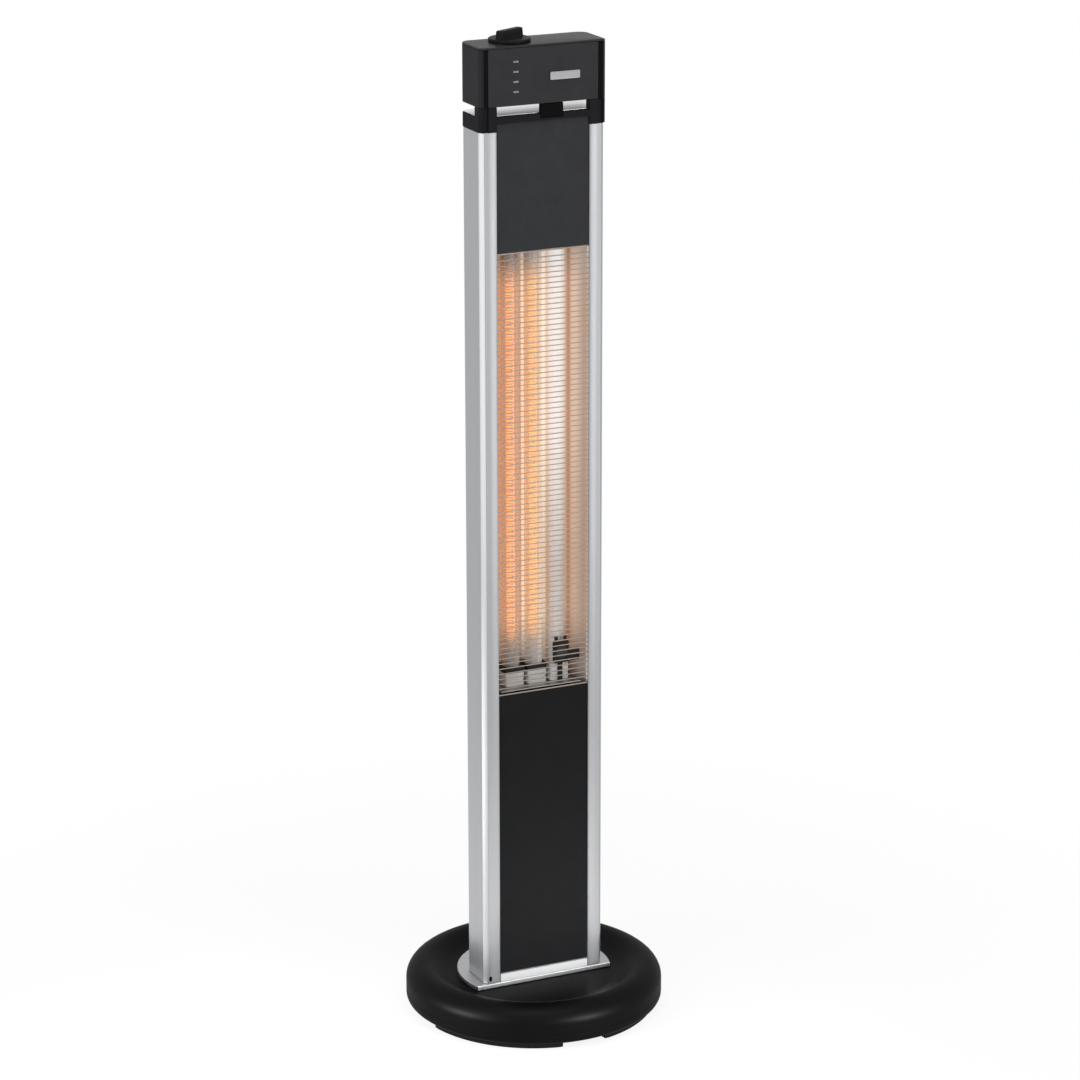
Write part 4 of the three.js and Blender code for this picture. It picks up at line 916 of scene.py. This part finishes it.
def build_cutout():
    """The thermal cut-out: a case with a disc on it, its stem, a strap and two tabs."""
    (x0, x1), (y0, y1), (z0, z1) = spans("thermal_cutout")
    mid_x = (x0 + x1) / 2
    case_low = z1 - 26
    case = upright((x0, x1), (case_low, z1), 2.5, (y0, y1), 0.9)
    stem = upright((mid_x - 3, mid_x + 3), (z0, case_low + 8), 0.8, (y1 - 1.2, y1 - 0.05), 0.2, 1)
    strap = upright((x1 - 3, x1 + 13.5), (case_low + 1, case_low + 15), 1.0,
                    (y0 + 0.6, y0 + 1.8), 0.2, 1)
    tabs = [upright((x - 2.2, x + 2.2), (z1 - 1.5, z1 + 6), 0.6, (y1 - 2.4, y1 - 1.6), 0.2, 1)
            for x in (mid_x - 5.5, mid_x + 5.5)]
    place(make("cutout_body", case, stem, strap, *tabs), "inner_plastic", "thermal_cutout")
    disc = lathe([(7.2, 0), (7.2, 0.5), (6.6, 0.9), (2.4, 0.9), (2.0, 0.6)], 36)
    place(make("cutout_disc", moved(disc, (mid_x, y0 + 0.1, case_low + 13), FORWARD)),
          "plate_steel")


# ---------------- collar and head

(_, HEAD_HALF), (HEAD_FRONT, HEAD_BACK), HEAD_Z = spans("head_body")
HEAD_WALL = 2.5
HEAD_OUTLINE = tower_outline(HEAD_HALF, HEAD_FRONT, HEAD_BACK, CORNER, BACK_CORNER)
(_, FASCIA_HALF), (_, FASCIA_BACK), _ = spans("head_fascia")
RECESS_HALF = FASCIA_HALF + 5.6
RECESS_Y = FASCIA_BACK + GAP
PLUG = 12.3  # height of the collar's plug in the column, and its distance from the front
POST_DEPTH = 15
POST_WALL = 10
PLUG_HALF = 54


def build_collar():
    plug_low, post_top = spans("collar")[2]
    low = plug_low + PLUG
    top = spans("heat_shield")[2][0] - GAP
    collar = make("collar_ring", slab(HEAD_OUTLINE, low, top, 0.5))
    side_back = HEAD_FRONT + POST_DEPTH
    inner_x, inner_y = HEAD_HALF - POST_WALL, HEAD_FRONT + POST_WALL
    post = ([(FLANGE_X, HEAD_FRONT)]
            + arc(HEAD_HALF - CORNER, HEAD_FRONT + CORNER, CORNER, CORNER, -90, 0, 8)
            + [(HEAD_HALF, side_back), (inner_x, side_back), (inner_x, inner_y),
               (FLANGE_X, inner_y)])
    combine(collar, block(post, top - 1, post_top), block(mirrored(post)[::-1], top - 1, post_top),
            operation="UNION")
    panel_x, panel_y, panel_z = spans("upper_front_panel")
    x, y, z = spans("receiver_window")
    up_to_panel = (low - 2, panel_z[1] + GAP)
    cuts = [
        cutter((-PLUG_HALF, PLUG_HALF), (HEAD_FRONT + PLUG, HEAD_BACK - BACK_CORNER),
               (low - 2, top + 2)),
        cutter((-FLANGE_X, FLANGE_X), (HEAD_FRONT - 1, panel_y[1]), up_to_panel),
        cutter(eased(panel_x), eased(panel_y), up_to_panel),
        cutter(eased(x), (HEAD_FRONT - 1, y[1] + GAP), (z[0] - GAP, top + 2)),
    ]
    for side in (-1, 1):
        groove = sorted((side * FASCIA_HALF, side * RECESS_HALF))
        cuts.append(cutter(groove, (HEAD_FRONT - 1, RECESS_Y), (low - 2, HEAD_Z[0] + 1)))
    combine(collar, *cuts)
    place(collar, "head_plastic", "collar", bevel=0.35, look="collar_plastic")
    place(make("receiver_lens", upright(x, z, 1.0, y, 0.7)), "window_gloss", "receiver_window")


def build_fascia():
    """The head's front plate with its four marks, and dark sheets in the grooves beside it that
    paint their shade.
    """
    x, (y0, y1), z = spans("head_fascia")
    fascia = make("fascia_plate", upright(x, z, 1.0, (y0, y1), 0.6))
    for number in range(1, 5):
        x, _, z = spans(f"indicator_{number}")
        combine(fascia, upright(eased(x), eased(z), 0.9, (y0 - 1, y1 + 1), CRISP, 1))
        lens = upright(x, z, 0.7, (y0 - 0.1, y1), 0.6)
        place(make(f"indicator_mark_{number}", lens), "indicator_lens", f"indicator_{number}")
    place(fascia, "fascia_plastic", "head_fascia")

    # dark rubber sheets at the back of the grooves beside the fascia: painted shade in the
    # recesses
    for number, side in enumerate((-1, 1), 1):
        x = sorted((side * (FASCIA_HALF + 0.25), side * (RECESS_HALF - 0.25)))
        groove_shade = upright(x, (HEAD_Z[0] + 0.3, HEAD_Z[1] - 0.6), 0.5,
                        (RECESS_Y - 0.9, RECESS_Y + 0.2), 0.2)
        place(make(f"groove_liner_{number}", groove_shade), "foot_rubber")


def build_lid():
    """The head's top cover, crowned and rounded along its edge."""
    z0, z1 = spans("head_top_cover")[2]
    crown, edge = 1.0, 1.3
    rim = z1 - crown
    centre_y = (HEAD_FRONT + HEAD_BACK) / 2
    rings = [level(shrink(HEAD_OUTLINE, 0.4), z0), level(HEAD_OUTLINE, z0 + 0.4)]
    for i in range(5):
        angle = math.radians(18 * i)
        inset = edge * (1 - math.cos(angle))
        rings.append(level(shrink(HEAD_OUTLINE, inset), rim - edge + edge * math.sin(angle)))
    inner = shrink(HEAD_OUTLINE, edge)
    for i in range(10):
        s = 1 - (i / 10.5)
        rings.append([(x * s, centre_y + (y - centre_y) * s, z1 - crown * s ** 2.4)
                      for x, y in inner])
    place(make("head_lid", (rings, False)), "head_top_plastic", "head_top_cover", sharp=40)


def build_head():
    low, high = HEAD_Z
    head = make("head_shell", slab(HEAD_OUTLINE, low, high, 0.6))
    cavity = tower_outline(HEAD_HALF - HEAD_WALL, RECESS_Y + HEAD_WALL, HEAD_BACK - HEAD_WALL,
                           2.5, BACK_CORNER - HEAD_WALL)
    combine(head, block(cavity, low + HEAD_WALL, high + 4),
            cutter((-RECESS_HALF, RECESS_HALF), (HEAD_FRONT - 1, RECESS_Y), (low - 1, high + 1)))
    place(head, "head_plastic", "head_body", bevel=0.35)

    build_fascia()

    x, y, z = spans("blank_badge")
    badge = upright(x, z, 1.4, (y[0], HEAD_FRONT), 0.25, corner_steps=6)
    place(make("blank_plate", badge), "badge_steel", "blank_badge")

    build_lid()


# ---------------- knob and gland

KNOB_TURN = math.radians(27)
KNOB_RADIUS = 23.5
KNOB_HEIGHT = 12.7
WING_HALF = (19.5, 5.0)
GLAND_SIDES = 48
GLAND_BORE = 3.6
NUT_FLAT = 8.4
NUT_CORNER = 9.0
NUT_HEIGHT = 4.2


def build_knob():
    shaft = middle("knob_shaft")
    top = spans("knob")[2][1]
    low = top - KNOB_HEIGHT
    skirt = ([(4.0, low + 0.2), (KNOB_RADIUS - 0.3, low), (KNOB_RADIUS, low + 0.3)]
             + arc(KNOB_RADIUS - 1.6, low + 1.9, 1.6, 1.6, 0, 90, 5)
             + [(12, low + 3.5), (3, low + 3.5)])
    turn = Matrix.Rotation(KNOB_TURN, 3, "Z")
    place_at = (shaft[0], shaft[1], 0)
    wing = []
    half_length, half_width = WING_HALF
    for inset, z in ((-0.6, low + 3.2), (-0.2, low + 3.7), (0.0, low + 4.4), (0.25, low + 8),
                     (0.5, top - 1.6), (0.75, top - 0.8), (1.2, top - 0.25), (1.9, top)):
        x, y = half_length - inset, half_width - inset
        corner = max(2.6 - inset * 0.6, 0.8)
        wing.append(level(rounded((-x, x), (-y, y), corner, 5), z))
    knob = make("knob_body", moved(lathe(skirt, 96), place_at))
    combine(knob, moved((wing, False), place_at, turn), operation="UNION")
    pointer = block(rounded((8, half_length - 2.6), (-0.45, 0.45), 0.3), top - 0.6, top + 0.5)
    combine(knob, moved(pointer, place_at, turn))
    place(knob, "knob_plastic", "knob", body="mode_knob", sharp=35)


def build_gland():
    """A cable gland: a hexagon nut with a domed cap and an open bore."""
    low, end = spans("cable_gland")[1]
    x, _, z = middle("cable_gland")
    start = spans("rear_cover")[1][1] + GAP
    hexagon = []
    for k in range(GLAND_SIDES):
        angle = math.radians(360 / GLAND_SIDES * k)
        flat = NUT_FLAT / math.cos((angle % (math.pi / 3)) - math.pi / 6)
        reach = min(flat, NUT_CORNER)
        hexagon.append((reach * math.cos(angle), reach * math.sin(angle)))
    rings = levels(circle, ((GLAND_BORE, low), (6.0, low), (6.0, start)), GLAND_SIDES)
    rings += [level(hexagon, start), level(hexagon, start + NUT_HEIGHT)]
    rings += levels(circle, [(r, start + (end - start) * share) for r, share in (
        (7.6, 0.5), (7.4, 0.62), (6.8, 0.82), (5.6, 1.0), (4.0, 1.0), (GLAND_BORE, 0.94))],
        GLAND_SIDES)
    place(make("gland_nut", moved((rings, True), (x, 0, z), BACKWARD)),
          "gland_plastic", "cable_gland")


# ---------------- carried nodes

CARRIED = {
    "base_bottom_plate": "plate_steel", "base_ballast": "ballast_iron",
    **{f"base_bolt_{number}": "fastener_steel" for number in range(1, 5)},
    "tip_plunger": "fastener_steel", "tip_switch": "inner_plastic",
    "lower_bracket": "bracket_steel", "upper_bracket": "bracket_steel",
    "heat_shield": "shield_aluminium", "cable_stem": "inner_plastic",
    "control_board": "board_resin", "knob_shaft": "fastener_steel",
    "rotary_switch": "inner_plastic", "terminal_block": "end_ceramic",
    "wiring_loom": "loom_rubber",
}


def dress_nodes():
    """The CAD nodes that stay in sight get their finish, a fine bevel and smooth shading."""
    for name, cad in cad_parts.items():
        if cad.hide_render:
            continue
        cad.data.materials.clear()
        cad.data.materials.append(FINISHES[CARRIED[name]])
        weld = cad.modifiers.new("weld", "WELD")
        weld.merge_threshold = 1e-6
        add_bevel(cad, 0.3, 40)
        cad.modifiers.new("normals", "WEIGHTED_NORMAL")


build_base()
build_column()
build_back()
build_grille()
build_elements()
build_reflector()
build_cutout()
build_collar()
build_head()
build_knob()
build_gland()
dress_nodes()

# ---------------- studio

FLOOR_SIZE = 30.0
NEAR_GLOW = 0.84  # share of plain white in the floor near the base, the rest takes the shadow
NEAR_RADIUS = 0.2
FAR_RADIUS = 0.9  # from here on the floor is plain white
SOFT_LIGHT = 0.55  # the world's light on the object

IMAGE_WIDTH = 1080
FOCAL_PIXELS = 3852.1
SENSOR_WIDTH = 36.0
CAMERA_PLACE = (-1.7543, -3.7982, 1.8518)
CAMERA_ANGLES = (-24.902, 17.086, -0.078)  # azimuth, pitch and roll in degrees


def seen_directly(tree):
    """1 for camera, glossy and transmission rays."""
    path = node(tree, "ShaderNodeLightPath")
    total = path.outputs["Is Camera Ray"]
    for name in ("Is Glossy Ray", "Is Transmission Ray"):
        total = maths(tree, "MAXIMUM", total, path.outputs[name])
    return total


def mix_shaders(tree, share, first, second):
    made = node(tree, "ShaderNodeMixShader")
    plug(tree, made.inputs, share, first, second)
    return made.outputs[0]


def build_floor():
    """A floor that takes the shadow, turns to plain white and can't be seen from below."""
    half = FLOOR_SIZE / 2
    mesh = bpy.data.meshes.new("studio_floor")
    mesh.from_pydata([(-half, -half, 0), (half, -half, 0), (half, half, 0), (-half, half, 0)],
                     [], [(0, 1, 2, 3)])
    floor = put("studio_floor", mesh)
    material = bpy.data.materials.new("studio_floor")
    material.use_nodes = True
    tree = material.node_tree
    tree.nodes.clear()
    matt = node(tree, "ShaderNodeBsdfDiffuse", Color=(0.9, 0.9, 0.9, 1)).outputs[0]
    white = node(tree, "ShaderNodeEmission", Strength=1.0).outputs[0]
    clear = node(tree, "ShaderNodeBsdfTransparent").outputs[0]
    reach = node(tree, "ShaderNodeVectorMath", operation="LENGTH")
    tree.links.new(node(tree, "ShaderNodeTexCoord").outputs["Object"], reach.inputs[0])
    glow = spread(tree, reach.outputs["Value"], NEAR_GLOW, 1.0, NEAR_RADIUS, FAR_RADIUS)
    share = maths(tree, "MULTIPLY", seen_directly(tree), glow)
    below = node(tree, "ShaderNodeNewGeometry").outputs["Backfacing"]
    sides = mix_shaders(tree, below, mix_shaders(tree, share, matt, white), clear)
    out = node(tree, "ShaderNodeOutputMaterial")
    tree.links.new(sides, out.inputs["Surface"])
    mesh.materials.append(material)


def build_world():
    world = bpy.data.worlds.new("studio")
    bpy.context.scene.world = world
    world.use_nodes = True
    tree = world.node_tree
    tree.nodes.clear()
    soft, white = (node(tree, "ShaderNodeBackground", Color=(1, 1, 1, 1), Strength=s).outputs[0]
                   for s in (SOFT_LIGHT, 1.0))
    out = node(tree, "ShaderNodeOutputWorld")
    tree.links.new(mix_shaders(tree, seen_directly(tree), soft, white), out.inputs["Surface"])


def softbox(name, azimuth, height, distance, width, tall, power, aim_z=0.6, fan=180):
    """An area lamp round the object; azimuth 0 is in front of it and 90 on its -X side.

    It looks at the height aim_z above the origin, and fan is its beam's angle in degrees.
    """
    lamp = bpy.data.lights.new(name, "AREA")
    lamp.shape, lamp.size, lamp.size_y, lamp.energy = "RECTANGLE", width, tall, power
    lamp.spread = math.radians(fan)
    holder = put(name, lamp)
    angle = math.radians(azimuth)
    holder.location = (-math.sin(angle) * distance, -math.cos(angle) * distance, height)
    aim = Vector((0, 0, aim_z)) - holder.location
    holder.rotation_mode = "QUATERNION"
    holder.rotation_quaternion = aim.to_track_quat("-Z", "Y")


def build_camera():
    azimuth, pitch, roll = (math.radians(angle) for angle in CAMERA_ANGLES)
    back = Vector((math.sin(azimuth) * math.cos(pitch), -math.cos(azimuth) * math.cos(pitch),
                   math.sin(pitch)))
    right = Vector((math.cos(azimuth), math.sin(azimuth), 0))
    up = back.cross(right)
    across = right * math.cos(roll) + up * math.sin(roll)
    upward = up * math.cos(roll) - right * math.sin(roll)
    lens = bpy.data.cameras.new("camera")
    lens.sensor_width = SENSOR_WIDTH
    lens.lens = FOCAL_PIXELS / IMAGE_WIDTH * SENSOR_WIDTH
    lens.clip_start, lens.clip_end = 0.1, 60.0
    camera = put("camera", lens)
    turn = Matrix((across, upward, back)).transposed().to_4x4()
    camera.matrix_world = Matrix.Translation(Vector(CAMERA_PLACE)) @ turn
    bpy.context.scene.camera = camera


build_floor()
build_world()
# each lamp: azimuth, height, distance, its width and its own height, power
softbox("left_softbox", 77, 0.7, 1.3, 0.8, 1.3, 7.6)
softbox("right_softbox", -26, 0.7, 1.3, 0.24, 1.3, 3.4)
softbox("left_low_softbox", 86, 0.18, 1.0, 0.35, 0.25, 1.1, aim_z=0.0, fan=52)
softbox("right_low_softbox", -19, 0.18, 1.0, 0.35, 0.25, 0.62, aim_z=-0.03, fan=36)
softbox("top_softbox", 20, 3.6, 1.2, 2.0, 2.0, 35)
build_camera()
bpy.context.scene.view_settings.view_transform = "Standard"
